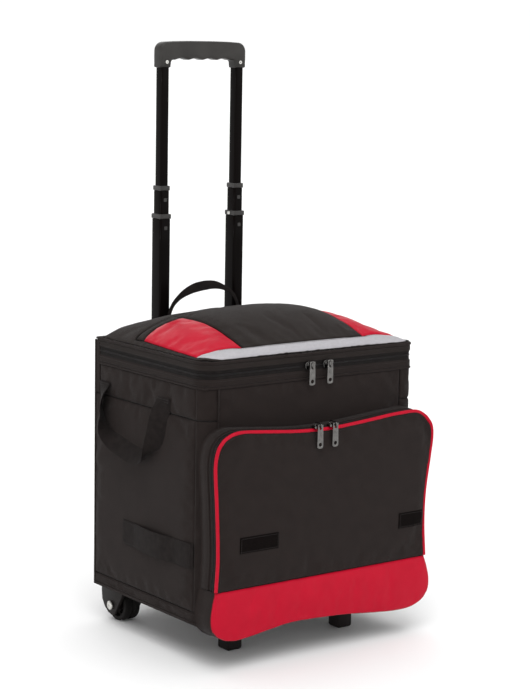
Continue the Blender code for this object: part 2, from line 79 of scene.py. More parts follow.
def makeCamera():
    azimuth, elevation, roll = (math.radians(cameraSetup[key]) for key in ("azimuth", "elevation", "roll"))
    back = Vector((math.sin(azimuth) * math.cos(elevation), -math.cos(azimuth) * math.cos(elevation),
                   math.sin(elevation)))
    right = Vector((math.cos(azimuth), math.sin(azimuth), 0))
    up = back.cross(right)
    axisX = math.cos(roll) * right + math.sin(roll) * up
    axisY = -math.sin(roll) * right + math.cos(roll) * up
    place = (Vector(cameraSetup["aim"]) + back * cameraSetup["distance"]) * mm + Vector((0, bagY, 0))
    camera = bpy.data.objects.new("camera", bpy.data.cameras.new("camera"))
    camera.data.lens = cameraSetup["lens"]
    camera.data.sensor_width = 36
    turn = Matrix((axisX, axisY, back)).transposed()
    camera.matrix_world = Matrix.Translation(place) @ turn.to_4x4()
    bpy.context.scene.collection.objects.link(camera)
    bpy.context.scene.camera = camera


makeCamera()


# short words for wiring a material
class Nodes:
    def __init__(self, name, color, roughness, metallic=0.0, gloss=0.5):
        self.made = bpy.data.materials.new(name)
        self.made.use_nodes = True
        self.tree = self.made.node_tree
        self.shader = self.tree.nodes["Principled BSDF"]
        self.shader.inputs["Base Color"].default_value = (*color, 1)
        self.shader.inputs["Roughness"].default_value = roughness
        self.shader.inputs["Metallic"].default_value = metallic
        self.shader.inputs["Specular IOR Level"].default_value = gloss
        self.color, self.roughness = color, roughness
        self.height = None

    def add(self, kind, **values):
        node = self.tree.nodes.new("ShaderNode" + kind)
        for key, value in values.items():
            if hasattr(node, key):
                setattr(node, key, value)
            else:
                node.inputs[key.replace("_", " ")].default_value = value
        return node

    def wire(self, source, target, socket=0):
        out = source if isinstance(source, bpy.types.NodeSocket) else source.outputs[0]
        self.tree.links.new(out, target.inputs[socket])
        return target

    def math(self, operation, a, b=None):
        node = self.add("Math", operation=operation)
        for i, value in enumerate((a, b)):
            if value is None:
                continue
            if isinstance(value, (int, float)):
                node.inputs[i].default_value = value
            else:
                self.wire(value, node, i)
        return node

    def coords(self, kind="Object"):
        return self.add("TexCoord").outputs[kind]

    def noise(self, scale, detail=2.0, kind="Object", stretch=None):
        source = self.coords(kind)
        if stretch:
            squeezed = self.add("Mapping")
            squeezed.inputs["Scale"].default_value = stretch
            source = self.wire(source, squeezed).outputs[0]
        node = self.add("TexNoise", Scale=scale, Detail=detail)
        self.wire(source, node, "Vector")
        return node.outputs["Fac"]

    # colour runs from low to high times the base colour as the mask goes from 0.3 to 0.7
    def tint(self, mask, low, high):
        ramp = self.add("MapRange")
        ramp.inputs["From Min"].default_value = 0.3
        ramp.inputs["From Max"].default_value = 0.7
        self.wire(mask, ramp)
        mix = self.add("Mix", data_type="RGBA")
        mix.inputs[6].default_value = (*[c * low for c in self.color], 1)
        mix.inputs[7].default_value = (*[min(c * high, 1) for c in self.color], 1)
        self.wire(ramp, mix, 0)
        self.tree.links.new(mix.outputs[2], self.shader.inputs["Base Color"])
        return mix

    def rough(self, mask, low, high):
        ramp = self.add("MapRange")
        ramp.inputs["To Min"].default_value = low
        ramp.inputs["To Max"].default_value = high
        self.wire(mask, ramp)
        self.wire(ramp, self.shader, "Roughness")

    def bump(self, mask, distance, strength=1.0):
        node = self.add("Bump", Strength=strength, Distance=distance)
        self.wire(mask, node, "Height")
        if self.height:
            self.wire(self.height, node, "Normal")
        self.height = node
        self.wire(node, self.shader, "Normal")

    def sheen(self, weight, roughness=0.4):
        self.shader.inputs["Sheen Weight"].default_value = weight
        self.shader.inputs["Sheen Roughness"].default_value = roughness

    def coat(self, weight, roughness):
        self.shader.inputs["Coat Weight"].default_value = weight
        self.shader.inputs["Coat Roughness"].default_value = roughness


# over and under threads from the piece's own flat coordinates, in metres
def weave(nodes, pitch, across=1.0):
    split = nodes.add("SeparateXYZ")
    nodes.wire(nodes.coords("UV"), split)
    turns = math.pi / pitch
    warp = nodes.math("SINE", nodes.math("MULTIPLY", split.outputs[0], turns))
    weft = nodes.math("SINE", nodes.math("MULTIPLY", split.outputs[1], turns / across))
    parity = nodes.math("GREATER_THAN", nodes.math("MULTIPLY", warp, weft), 0.0)
    overs = nodes.math("ABSOLUTE", warp)
    unders = nodes.math("ABSOLUTE", weft)
    picked = nodes.math("MULTIPLY", overs, parity)
    other = nodes.math("MULTIPLY", unders, nodes.math("SUBTRACT", 1.0, parity))
    return nodes.math("ADD", picked, other)


def ribs(nodes, pitch, axis=1):
    split = nodes.add("SeparateXYZ")
    nodes.wire(nodes.coords("UV"), split)
    return nodes.math("SINE", nodes.math("MULTIPLY", split.outputs[axis], 2 * math.pi / pitch))


def makeFabric(name, color, pitch=0.0009, sheen=0.06, roughness=0.82):
    nodes = Nodes(name, color, roughness, gloss=0.1)
    nodes.tint(nodes.noise(55, 4), 0.92, 1.09)
    nodes.rough(nodes.noise(900, 2), roughness - 0.12, roughness + 0.08)
    nodes.bump(nodes.noise(28, 3), 0.0012, 0.35)
    nodes.bump(weave(nodes, pitch), 0.00016, 0.8)
    nodes.sheen(sheen)
    return nodes.made


def makeVinyl():
    nodes = Nodes("racingRedVinyl", (0.43, 0.0030, 0.0195), 0.4, gloss=0.08)
    nodes.tint(nodes.noise(35, 4), 0.95, 1.05)
    nodes.rough(nodes.noise(160, 3), 0.34, 0.5)
    grain = nodes.add("TexVoronoi", Scale=900.0, feature="DISTANCE_TO_EDGE")
    nodes.wire(nodes.coords("Object"), grain, "Vector")
    nodes.bump(nodes.noise(60, 3), 0.0008, 0.3)
    nodes.bump(grain.outputs["Distance"], 0.0004, 0.35)
    nodes.coat(0.04, 0.3)
    return nodes.made


def makeSilverTape():
    nodes = Nodes("silverReflectTape", (0.385, 0.375, 0.395), 0.42, 0.15, 0.3)
    nodes.tint(nodes.noise(300, 3), 0.93, 1.06)
    nodes.rough(nodes.noise(900, 2), 0.34, 0.52)
    beads = nodes.add("TexVoronoi", Scale=2600.0)
    nodes.wire(nodes.coords("Object"), beads, "Vector")
    nodes.bump(beads.outputs["Distance"], 0.0001, 0.4)
    return nodes.made


def makeWebbing(name="blackWebbing", color=(0.0125, 0.0098, 0.0093), pitch=0.0017):
    nodes = Nodes(name, color, 0.78, gloss=0.07)
    nodes.tint(nodes.noise(120, 3), 0.8, 1.3)
    nodes.rough(nodes.noise(700, 2), 0.68, 0.86)
    nodes.bump(ribs(nodes, pitch, 1), 0.00022, 0.8)
    nodes.bump(ribs(nodes, pitch * 0.9, 0), 0.00014, 0.6)
    nodes.sheen(0.025)
    return nodes.made


def makePlastic(name, color, roughness, grain=1400.0, depth=0.00012, coat=0.0):
    nodes = Nodes(name, color, roughness, gloss=0.16)
    nodes.tint(nodes.noise(40, 4), 0.86, 1.16)
    nodes.rough(nodes.noise(220, 3), roughness - 0.07, roughness + 0.07)
    nodes.bump(nodes.noise(grain, 2), depth, 0.6)
    if coat:
        nodes.coat(coat, 0.25)
    return nodes.made


def makeEnamel():
    nodes = Nodes("glossBlackEnamel", (0.0032, 0.0022, 0.002), 0.2, gloss=0.035)
    nodes.rough(nodes.noise(240, 3, stretch=(1, 1, 0.04)), 0.14, 0.24)
    nodes.tint(nodes.noise(60, 3, stretch=(1, 1, 0.1)), 0.8, 1.3)
    nodes.bump(nodes.noise(1800, 2), 0.00003, 0.4)
    return nodes.made


def makeMetal(name, color, roughness, brush=(1, 1, 14)):
    nodes = Nodes(name, color, roughness, 1.0)
    nodes.tint(nodes.noise(180, 3), 0.75, 1.15)
    nodes.rough(nodes.noise(500, 3, stretch=brush), roughness - 0.1, roughness + 0.14)
    nodes.bump(nodes.noise(900, 2, stretch=brush), 0.00005, 0.5)
    return nodes.made


def makeLinerFilm():
    nodes = Nodes("linerFilm", (0.62, 0.63, 0.64), 0.34, 0.25)
    nodes.tint(nodes.noise(24, 3), 0.9, 1.05)
    nodes.rough(nodes.noise(60, 4), 0.24, 0.46)
    nodes.bump(nodes.noise(45, 4), 0.003, 0.5)
    return nodes.made


def makeFoam():
    nodes = Nodes("closedCellFoam", (0.72, 0.72, 0.7), 0.85)
    cells = nodes.add("TexVoronoi", Scale=900.0)
    nodes.wire(nodes.coords("Object"), cells, "Vector")
    nodes.tint(cells.outputs["Distance"], 0.85, 1.05)
    nodes.bump(cells.outputs["Distance"], 0.0004, 0.6)
    return nodes.made


def makeHookFabric():
    nodes = Nodes("loopPatchPile", (0.0045, 0.0032, 0.003), 0.95, gloss=0.02)
    nodes.tint(nodes.noise(900, 3), 0.5, 1.6)
    nodes.bump(nodes.noise(1700, 3), 0.0008, 0.9)
    nodes.sheen(0.01, 0.6)
    return nodes.made


fabric = makeFabric("blackPolyester", (0.0165, 0.0118, 0.0108))
# a paler copy of the same black polyester for the lid's pieces and the rear top strip: painted light,
# standing for the stronger light that falls on the top
litLidFabric = makeFabric("litLidPolyester", (0.0185, 0.0142, 0.0128))
vinyl = makeVinyl()
silverTape = makeSilverTape()
webbing = makeWebbing()
zipTape = makeWebbing("zipTapeTwill", (0.0105, 0.0088, 0.0085), 0.0011)
toothNylon = makePlastic("nylonCoil", (0.02, 0.018, 0.018), 0.35, coat=0.15)
gripPlastic = makePlastic("gripPlastic", (0.034, 0.032, 0.03), 0.42, 1600, 0.0001)
housingPlastic = makePlastic("housingPlastic", (0.012, 0.0095, 0.009), 0.5, 900, 0.00014)
collarPlastic = makePlastic("collarPlastic", (0.026, 0.024, 0.0225), 0.34, coat=0.3)
footPlastic = makePlastic("footPlastic", (0.009, 0.006, 0.006), 0.55)
rubber = makePlastic("treadRubber", (0.008, 0.0068, 0.0064), 0.68, 1200, 0.0002)
enamel = makeEnamel()
gunmetal = makeMetal("gunmetalPlating", (0.15, 0.145, 0.14), 0.2)
zinc = makeMetal("brightZinc", (0.62, 0.61, 0.58), 0.28)
linerFilm = makeLinerFilm()
foamWhite = makeFoam()
loopPile = makeHookFabric()
thread = makeFabric("sewingThread", (0.024, 0.02, 0.019), 0.0006, 0.1, 0.6)
print("materials made")


def placed(name, data):
    item = bpy.data.objects.new(name, data)
    bpy.context.scene.collection.objects.link(item)
    return item


# a mesh from points in millimetres round the bag's middle
def meshPiece(name, points, faces, look, uv=None, smooth=True):
    mesh = bpy.data.meshes.new(name)
    mesh.from_pydata((np.asarray(points, float).reshape(-1, 3) * mm).tolist(), [], faces)
    if uv is not None:
        layer = mesh.uv_layers.new(name="flat")
        loops = np.zeros(len(mesh.loops), int)
        mesh.loops.foreach_get("vertex_index", loops)
        layer.data.foreach_set("uv", (np.asarray(uv, float).reshape(-1, 2) * mm)[loops].ravel())
    mesh.materials.append(look)
    piece = placed(name, mesh)
    piece.location = (0, bagY, 0)
    if smooth:
        mesh.shade_smooth()
    return piece


def gridFaces(rows, columns, closedRows=False, closedColumns=False, flip=False):
    faces = []
    for i in range(rows if closedRows else rows - 1):
        for j in range(columns if closedColumns else columns - 1):
            a, b = i * columns + j, i * columns + (j + 1) % columns
            c, d = ((i + 1) % rows) * columns + (j + 1) % columns, ((i + 1) % rows) * columns + j
            faces.append((a, d, c, b) if flip else (a, b, c, d))
    return faces


# a smooth line through given points, evenly spaced
def rounded(points, spacing=3.0, closed=False, count=None):
    p = np.asarray(points, float)
    if closed:
        p = np.vstack([p[-1], p, p[0], p[1]])
    else:
        p = np.vstack([2 * p[0] - p[1], p, 2 * p[-1] - p[-2]])
    pieces = []
    t = np.linspace(0, 1, 24, endpoint=False)[:, None]
    for a, b, c, d in zip(p, p[1:], p[2:], p[3:]):
        pieces.append(0.5 * (2 * b + (c - a) * t + (2 * a - 5 * b + 4 * c - d) * t**2
                             + (3 * b - a - 3 * c + d) * t**3))
    pieces.append(p[-2][None])
    return resampled(np.vstack(pieces), spacing, count, closed)


def resampled(line, spacing=3.0, count=None, closed=False):
    line = np.asarray(line, float)
    steps = np.linalg.norm(np.diff(line, axis=0), axis=1)
    length = np.concatenate([[0], np.cumsum(steps)])
    count = count or max(3, int(round(length[-1] / spacing)) + 1)
    where = np.linspace(0, length[-1], count, endpoint=not closed)
    return np.column_stack([np.interp(where, length, line[:, k]) for k in range(line.shape[1])])


# a function of 0 to 1 along a line
def lineAt(points, smooth=True):
    fine = rounded(points, 0.5) if smooth else resampled(points, 0.5)
    share = np.linspace(0, 1, len(fine))
    return lambda t: np.stack([np.interp(t, share, fine[:, k]) for k in range(fine.shape[1])], -1)


# a surface between four lines: bottom and top run left to right, the others run upward
def fourSided(bottom, right, top, left):
    bottom, right, top, left = (edge if callable(edge) else lineAt(edge)
                                for edge in (bottom, right, top, left))

    def at(u, v):
        uu, vv = u[..., None], v[..., None]
        spans = (1 - vv) * bottom(u) + vv * top(u) + (1 - uu) * left(v) + uu * right(v)
        a, b, c, d = bottom(np.array(0.0)), bottom(np.array(1.0)), top(np.array(1.0)), top(np.array(0.0))
        return spans - ((1 - uu) * (1 - vv) * a + uu * (1 - vv) * b + uu * vv * c + (1 - uu) * vv * d)

    return at


def normalsOf(grid, flip=False):
    along = np.gradient(grid, axis=1)
    up = np.gradient(grid, axis=0)
    n = np.cross(along, up)
    n /= np.maximum(np.linalg.norm(n, axis=-1, keepdims=True), 1e-9)
    return -n if flip else n


# inflates a loose sheet that is sewn down along its edges, and gives how far each point moved
def billow(grid, slack, pressure, cap, flip, seed=0, bend=0.4, closed=False):
    rows, columns = grid.shape[:2]
    rng = np.random.default_rng(seed)
    start = grid + normalsOf(grid, flip) * rng.normal(0, 0.12, (rows, columns, 1))
    sheet = meshPiece("billowing", start, gridFaces(rows, columns, flip=flip, closedColumns=closed), fabric)
    held = np.zeros((rows, columns), bool)
    held[0] = held[-1] = True
    if not closed:
        held[:, 0] = held[:, -1] = True
    group = sheet.vertex_groups.new(name="sewn")
    group.add(np.flatnonzero(held.ravel()).tolist(), 1.0, "REPLACE")
    cloth = sheet.modifiers.new("cloth", "CLOTH")
    settings = cloth.settings
    settings.vertex_group_mass = "sewn"
    settings.quality = 5
    settings.mass = 0.25
    settings.tension_stiffness = settings.compression_stiffness = 12
    settings.shear_stiffness = 4
    settings.bending_stiffness = bend
    settings.shrink_min = -slack
    settings.use_pressure = True
    settings.uniform_pressure_force = pressure
    settings.effector_weights.gravity = 0
    cloth.collision_settings.use_collision = False
    cloth.collision_settings.use_self_collision = False
    scene = bpy.context.scene
    for number in range(1, 21):
        scene.frame_set(number)
    shape = sheet.evaluated_get(bpy.context.evaluated_depsgraph_get()).to_mesh()
    moved = np.zeros(len(shape.vertices) * 3)
    shape.vertices.foreach_get("co", moved)
    scene.frame_set(1)
    bpy.data.objects.remove(sheet)
    shift = moved.reshape(rows, columns, 3) / mm - grid
    far = np.linalg.norm(shift, axis=-1, keepdims=True)
    shift *= np.minimum(1, cap / np.maximum(far, 1e-6))
    inward = (shift * normalsOf(grid, flip)).sum(-1, keepdims=True)
    return shift - normalsOf(grid, flip) * np.minimum(inward + 1.2, 0)


# places along one side, closer together near both sewn edges
def spread(length, cell, edge):
    near = [0.0, 0.7, 1.5, 2.6, 4.0] if edge else [0.0]
    near = [d for d in near if d < length / 3]
    middle = np.linspace(near[-1], length - near[-1], max(3, int((length - 2 * near[-1]) / cell) + 1))
    ends = [length - d for d in reversed(near[:-1])]
    return np.concatenate([near[:-1], middle, ends]) / length


# reads a field of shifts between its grid points
def lookup(field, u, v):
    rows, columns = field.shape[:2]
    x, y = u * (columns - 1), v * (rows - 1)
    i, j = np.clip(y.astype(int), 0, rows - 2), np.clip(x.astype(int), 0, columns - 2)
    fy, fx = (y - i)[..., None], (x - j)[..., None]
    fx, fy = fx * fx * (3 - 2 * fx), fy * fy * (3 - 2 * fy)
    low = field[i, j] * (1 - fx) + field[i, j + 1] * fx
    high = field[i + 1, j] * (1 - fx) + field[i + 1, j + 1] * fx
    return low * (1 - fy) + high * fy


# a panel of fabric: billowed between its seams, rolled under along them, and given thickness
def sewnPanel(name, surface, size, look, flip=False, slack=0.02, pressure=2.0, cap=4.0, cell=4.0,
              tuck=1.5, thick=1.0, seed=0, bend=0.4, closed=False, simCell=7.0, shape=None):
    wide, tall = size
    columns, rows = max(4, int(wide / simCell) + 1), max(4, int(tall / simCell) + 1)
    u, v = np.meshgrid(np.linspace(0, 1, columns), np.linspace(0, 1, rows))
    coarse = surface(u, v)
    shift = billow(coarse, slack, pressure, cap, flip, seed, bend) if cap else np.zeros_like(coarse)
    uu, vv = np.meshgrid(spread(wide, cell, not closed), spread(tall, cell, True))
    grid = surface(uu, vv) + lookup(shift, uu, vv)
    if shape:
        grid = grid + normalsOf(grid, flip) * shape(uu, vv)[..., None]
    edge = np.minimum(vv, 1 - vv) * tall
    if not closed:
        edge = np.minimum(edge, np.minimum(uu, 1 - uu) * wide)
    roll = np.clip(1 - edge / 3.2, 0, 1) ** 2 * tuck
    grid = grid - normalsOf(grid, flip) * roll[..., None]
    flat = np.stack([uu * wide, vv * tall], -1)
    piece = meshPiece(name, grid, gridFaces(*grid.shape[:2], flip=flip), look, flat)
    if thick:
        body = piece.modifiers.new("thickness", "SOLIDIFY")
        body.thickness = thick * mm
        body.offset = -1
    return piece


# carries a closed section along a path. A section point is how far out and how far up it lies
def sweep(name, path, out, up, section, look, closedPath=False, size=None):
    path = np.asarray(path, float)
    out, up = (np.broadcast_to(np.asarray(way, float), path.shape) for way in (out, up))
    section = np.asarray(section, float)
    scale = np.ones(len(path)) if size is None else np.asarray(size, float)
    grid = (path[:, None] + out[:, None] * section[None, :, :1] * scale[:, None, None]
            + up[:, None] * section[None, :, 1:] * scale[:, None, None])
    rows, columns = grid.shape[:2]
    faces = gridFaces(rows, columns, closedPath, True)
    if not closedPath:
        faces += [tuple(range(columns))[::-1], tuple((rows - 1) * columns + j for j in range(columns))]
    steps = np.concatenate([[0], np.cumsum(np.linalg.norm(np.diff(path, axis=0), axis=1))])
    around = np.concatenate([[0], np.cumsum(np.linalg.norm(np.diff(section, axis=0), axis=1))])
    flat = np.stack(np.meshgrid(around, steps), -1)
    piece = meshPiece(name, grid, faces, look, flat)
    fixNormals(piece)
    return piece


def fixNormals(piece, sharp=50):
    shape = bmesh.new()
    shape.from_mesh(piece.data)
    bmesh.ops.recalc_face_normals(shape, faces=shape.faces)
    shape.to_mesh(piece.data)
    shape.free()
    piece.data.shade_smooth()
    piece.data.set_sharp_from_angle(angle=math.radians(sharp))


def circle(radius, count=10):
    turn = np.linspace(0, 2 * math.pi, count, endpoint=False)
    return radius * np.stack([np.cos(turn), np.sin(turn)], -1)


# a strap's section: broad, thin and slightly round at the edges. Width runs along the second axis
def flatSection(width, thick, steps=8):
    w = np.linspace(-width / 2, width / 2, steps + 1)
    crown = thick / 2 * (1 - np.abs(2 * w / width) ** 10 * 0.7)
    return np.vstack([np.stack([crown, w], -1), np.stack([-crown[::-1], w[::-1]], -1)])


def roundedBox(wide, deep, radius, steps=4):
    points = []
    for cx, cy, first in ((1, 1, 0), (-1, 1, 90), (-1, -1, 180), (1, -1, 270)):
        for k in range(steps + 1):
            t = math.radians(first + 90 * k / steps)
            points.append((cx * (wide / 2 - radius) + radius * math.cos(t),
                           cy * (deep / 2 - radius) + radius * math.sin(t)))
    return np.array(points)


def level(plan, z):
    return np.column_stack([plan, np.full(len(plan), float(z))])


def tangentsOf(path, closed=False):
    if closed:
        t = np.roll(path, -1, 0) - np.roll(path, 1, 0)
    else:
        t = np.gradient(path, axis=0)
    return t / np.maximum(np.linalg.norm(t, axis=1, keepdims=True), 1e-9)


def unit(v):
    v = np.asarray(v, float)
    return v / np.maximum(np.linalg.norm(v, axis=-1, keepdims=True), 1e-9)


# a strap through given stops, each with the way that its width points
def ribbon(name, stops, widths, width, thick, look, spacing=3.0, narrow=None):
    both = rounded(np.hstack([np.asarray(stops, float), np.asarray(widths, float) * 20]), spacing)
    path, across = both[:, :3], unit(both[:, 3:])
    along = tangentsOf(path)
    across = unit(across - along * (along * across).sum(1, keepdims=True))
    face = np.cross(across, along)
    size = None
    if narrow is not None:
        size = np.interp(np.linspace(0, 1, len(path)), np.linspace(0, 1, len(narrow)), narrow)
    return sweep(name, path, face, across, flatSection(width, thick), look, size=size)


# a row of small raised stitches along a path that lies on a surface facing the given way
def stitchRow(name, path, face, look=None, pitch=3.4, length=2.3, thick=0.45):
    path = np.asarray(path, float)
    fine = resampled(np.hstack([path, np.broadcast_to(np.asarray(face, float), path.shape)]), pitch)
    centre, n = fine[:, :3], unit(fine[:, 3:])
    along = tangentsOf(centre)
    side = unit(np.cross(n, along))
    points, faces = [], []
    ring = [(-0.5, 0.0), (-0.32, 1.0), (0.32, 1.0), (0.5, 0.0)]
    for c, t, s, f in zip(centre, along, side, n):
        base = len(points)
        for a, b in ring:
            for k in range(4):
                turn = math.pi * (0.25 + k / 2)
                width = thick * (0.35 + 0.65 * b)
                points.append(c + t * a * length + s * width * math.cos(turn) * 0.8
                              + f * (width * math.sin(turn) * 0.55 + 0.1))
        for ringNumber in range(3):
            for k in range(4):
                a, b = base + ringNumber * 4 + k, base + ringNumber * 4 + (k + 1) % 4
                faces.append((a, b, b + 4, a + 4))
        faces.append((base + 3, base + 2, base + 1, base))
        faces.append(tuple(base + 12 + k for k in range(4)))
    piece = meshPiece(name, points, faces, look or thread, np.array(points)[:, :2])
    fixNormals(piece, 80)
    return piece


# zip teeth: one small bevelled block a pitch, turned to its place on the path
def teethRow(name, path, out, up, look, pitch=2.1, block=(1.5, 1.3, 1.2), shift=0.0):
    fine = resampled(np.hstack([path, out, np.broadcast_to(np.asarray(up, float), path.shape)]), pitch)
    points, faces = [], []
    corners = [(-1, -1, -1), (1, -1, -1), (1, 1, -1), (-1, 1, -1), (-0.6, -0.7, 1), (0.6, -0.7, 1),
               (0.6, 0.7, 1), (-0.6, 0.7, 1)]
    blockFaces = [(3, 2, 1, 0), (4, 5, 6, 7), (0, 1, 5, 4), (1, 2, 6, 5), (2, 3, 7, 6), (3, 0, 4, 7)]
    along = tangentsOf(fine[:, :3])
    for row, t in zip(fine, along):
        c, o, w = row[:3], unit(row[3:6]), unit(row[6:9])
        base = len(points)
        for a, b, h in corners:
            points.append(c + t * (a * block[0] / 2 + shift) + w * b * block[1] / 2 + o * h * block[2] / 2)
        faces += [tuple(base + k for k in face) for face in blockFaces]
    piece = meshPiece(name, points, faces, look, np.array(points)[:, :2], smooth=False)
    fixNormals(piece, 30)
    return piece


# a frame part's own shape with its flat faces merged and its edges rounded
def refined(name, node, look, width=0.8, segments=3, angle=30):
    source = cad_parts[node]
    shape = bmesh.new()
    shape.from_mesh(source.data)
    bmesh.ops.remove_doubles(shape, verts=shape.verts, dist=0.00002)
    bmesh.ops.dissolve_limit(shape, angle_limit=math.radians(1.5), verts=shape.verts, edges=shape.edges)
    bmesh.ops.recalc_face_normals(shape, faces=shape.faces)
    mesh = bpy.data.meshes.new(name)
    shape.to_mesh(mesh)
    shape.free()
    mesh.materials.clear()
    mesh.materials.append(look)
    piece = placed(name, mesh)
    edges = piece.modifiers.new("roundedEdges", "BEVEL")
    edges.width = width * mm
    edges.segments = segments
    edges.limit_method = "ANGLE"
    edges.angle_limit = math.radians(angle)
    edges.harden_normals = True
    mesh.shade_smooth()
    return piece


def settle(piece, body, slotName, *nodes):
    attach(piece, body)
    if nodes:
        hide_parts(*nodes)
    return piece


sides = (("left", -1), ("right", 1))


# plan of the front left corner, from the side to the front
def cornerArc(x, front, radius, steps=15):
    turn = np.radians(np.linspace(180, 270, steps))
    return np.stack([-x + radius + radius * np.cos(turn), front + radius + radius * np.sin(turn)], -1)


# plan of the left side, the front and the right side, from rear to rear, with outward directions
def rimLine(inset=0.0, radius=None, rear=None, spacing=3.0, front=None):
    x, front = bag["halfWide"] - inset, (front or bag["front"]) + inset
    rear = bag["back"] if rear is None else rear
    left = cornerArc(x, front, (radius or bag["cornerRadius"]) - inset)
    right = cornerArc(x, front, (radius or bag["rightCornerRadius"]) - inset)[::-1] * (-1, 1)
    line = resampled(np.vstack([[(-x, rear)], left, right, [(x, rear)]]), spacing)
    t = tangentsOf(line)
    return line, np.stack([t[:, 1], -t[:, 0]], -1)


def rimSweep(name, section, look, z=0.0, **line):
    plan, out = rimLine(**line)
    return sweep(name, level(plan, z), level(out, 0), (0, 0, 1), section, look)


def rimRow(z, inset, **line):
    plan, out = rimLine(inset=inset, **line)
    return level(plan, z), level(out, 0)


wallStyle = {
    "bottomSeam": 71.0,
    "sideSeam": 334.0,
    "cornerStart": -117.0,
    "frontStart": -158.0,
    "seamGap": 0.4,
}


def makeWalls():
    g = wallStyle["seamGap"]
    low, high = wallStyle["bottomSeam"] + g, bag["rim"]
    seam = wallStyle["sideSeam"]
    front, x0 = bag["front"], bag["halfWide"]
    rearY, cornerY = bag["rear"], wallStyle["cornerStart"]

    for label, sign in sides:
        def sideWall(y0, y1, z0, z1):
            def at(u, v):
                y = y0 + (y1 - y0) * u
                z = z0 + (z1 - z0) * v
                return np.stack([np.full_like(y, sign * x0), y, z], -1)
            return at

        flip = sign > 0
        panel = sewnPanel(f"{label}SidePanel", sideWall(rearY - 1, cornerY + g, low, seam - g),
                          (rearY - cornerY, seam - low), fabric, flip, slack=0.012, pressure=1.2, cap=3.2,
                          seed=3 + sign)
        settle(panel, "bag", "black_fabric", f"{label}_panel")
        upper = sewnPanel(f"{label}UpperPanel", sideWall(bag["back"] - 0.5, cornerY + g, seam + g, high),
                          (bag["back"] - cornerY, high - seam), fabric, flip, slack=0.022, pressure=1.2,
                          cap=2.6, seed=8 + sign, simCell=5)
        settle(upper, "bag", "black_fabric")
        ear = sewnPanel(f"{label}RearUpright", sideWall(rearY - 1, bag["back"] + 0.5, seam + g,
                                                        bag["stripLow"] - 0.5), (15, bag["stripLow"] - seam),
                        fabric, flip, cap=0, tuck=1.2)
        settle(ear, "bag", "black_fabric")

        curve = cornerArc(x0, front, bag["cornerRadius"] if sign < 0 else bag["rightCornerRadius"], 12)
        plan = np.vstack([[(-x0, cornerY - g)], curve[curve[:, 1] < cornerY - g - 1],
                          [(wallStyle["frontStart"] - g, front)]])
        if sign > 0:
            plan = plan * (-1, 1)
        line = lineAt(plan, False)

        def cornerWall(z0, z1, line=line):
            def at(u, v):
                flat = line(u)
                return np.concatenate([flat, (z0 + (z1 - z0) * v)[..., None]], -1)
            return at

        for part, z0, z1 in (("Corner", low, seam - g), ("UpperCorner", seam + g, high)):
            strip = sewnPanel(f"{label}{part}Strip", cornerWall(z0, z1), (41, z1 - z0), fabric, flip,
                              slack=0.01, pressure=0.6, cap=1.2, seed=5)
            settle(strip, "bag", "black_fabric")

    def frontWall(u, v):
        half = -wallStyle["frontStart"] - g
        return np.stack([-half + 2 * half * u, np.full_like(u, front), low + (high - low) * v], -1)

    panel = sewnPanel("frontPanel", frontWall, (2 * 158, high - low), fabric, False, slack=0.014,
                      pressure=1.0, cap=3.0, seed=11)
    settle(panel, "bag", "black_fabric", "front_panel")

    plan, _ = rimLine(rear=rearY - 0.5, spacing=2.0)
    line = lineAt(plan, False)

    def hem(u, v):
        flat = line(u)
        z = bag["floor"] + 0.2 + (wallStyle["bottomSeam"] - 0.4 - bag["floor"]) * v
        return np.concatenate([flat, z[..., None]], -1)

    band = sewnPanel("bottomHem", hem, (860, wallStyle["bottomSeam"] - bag["floor"]), fabric, False,
                     slack=0.012, pressure=0.5, cap=0.9, tuck=1.3, seed=2, simCell=5)
    settle(band, "bag", "black_fabric")
    for name, z, inset in (("hemStitches", wallStyle["bottomSeam"] - 3.4, -0.35),
                           ("hemLowerStitches", bag["floor"] + 3.5, -0.35)):
        path, out = rimRow(z, inset, rear=rearY - 2)
        settle(stitchRow(name, path, out), "bag", "black_fabric")


# a dark lining close behind the outer panels, so nothing pale shows through their seams
def makeBacking():
    low, high = bag["floor"] + 1.5, bag["rim"] - 1
    section = [(-2.4, low), (-2.4, high), (-3.2, high), (-3.2, low)]
    settle(rimSweep("wallBacking", section, zipTape, rear=bag["rear"] - 1.5), "bag", "black_fabric")


makeWalls()
makeBacking()
print("walls sewn")


zipStyle = {
    "pipingRadius": 2.1,
    "welt": 1.7,
}


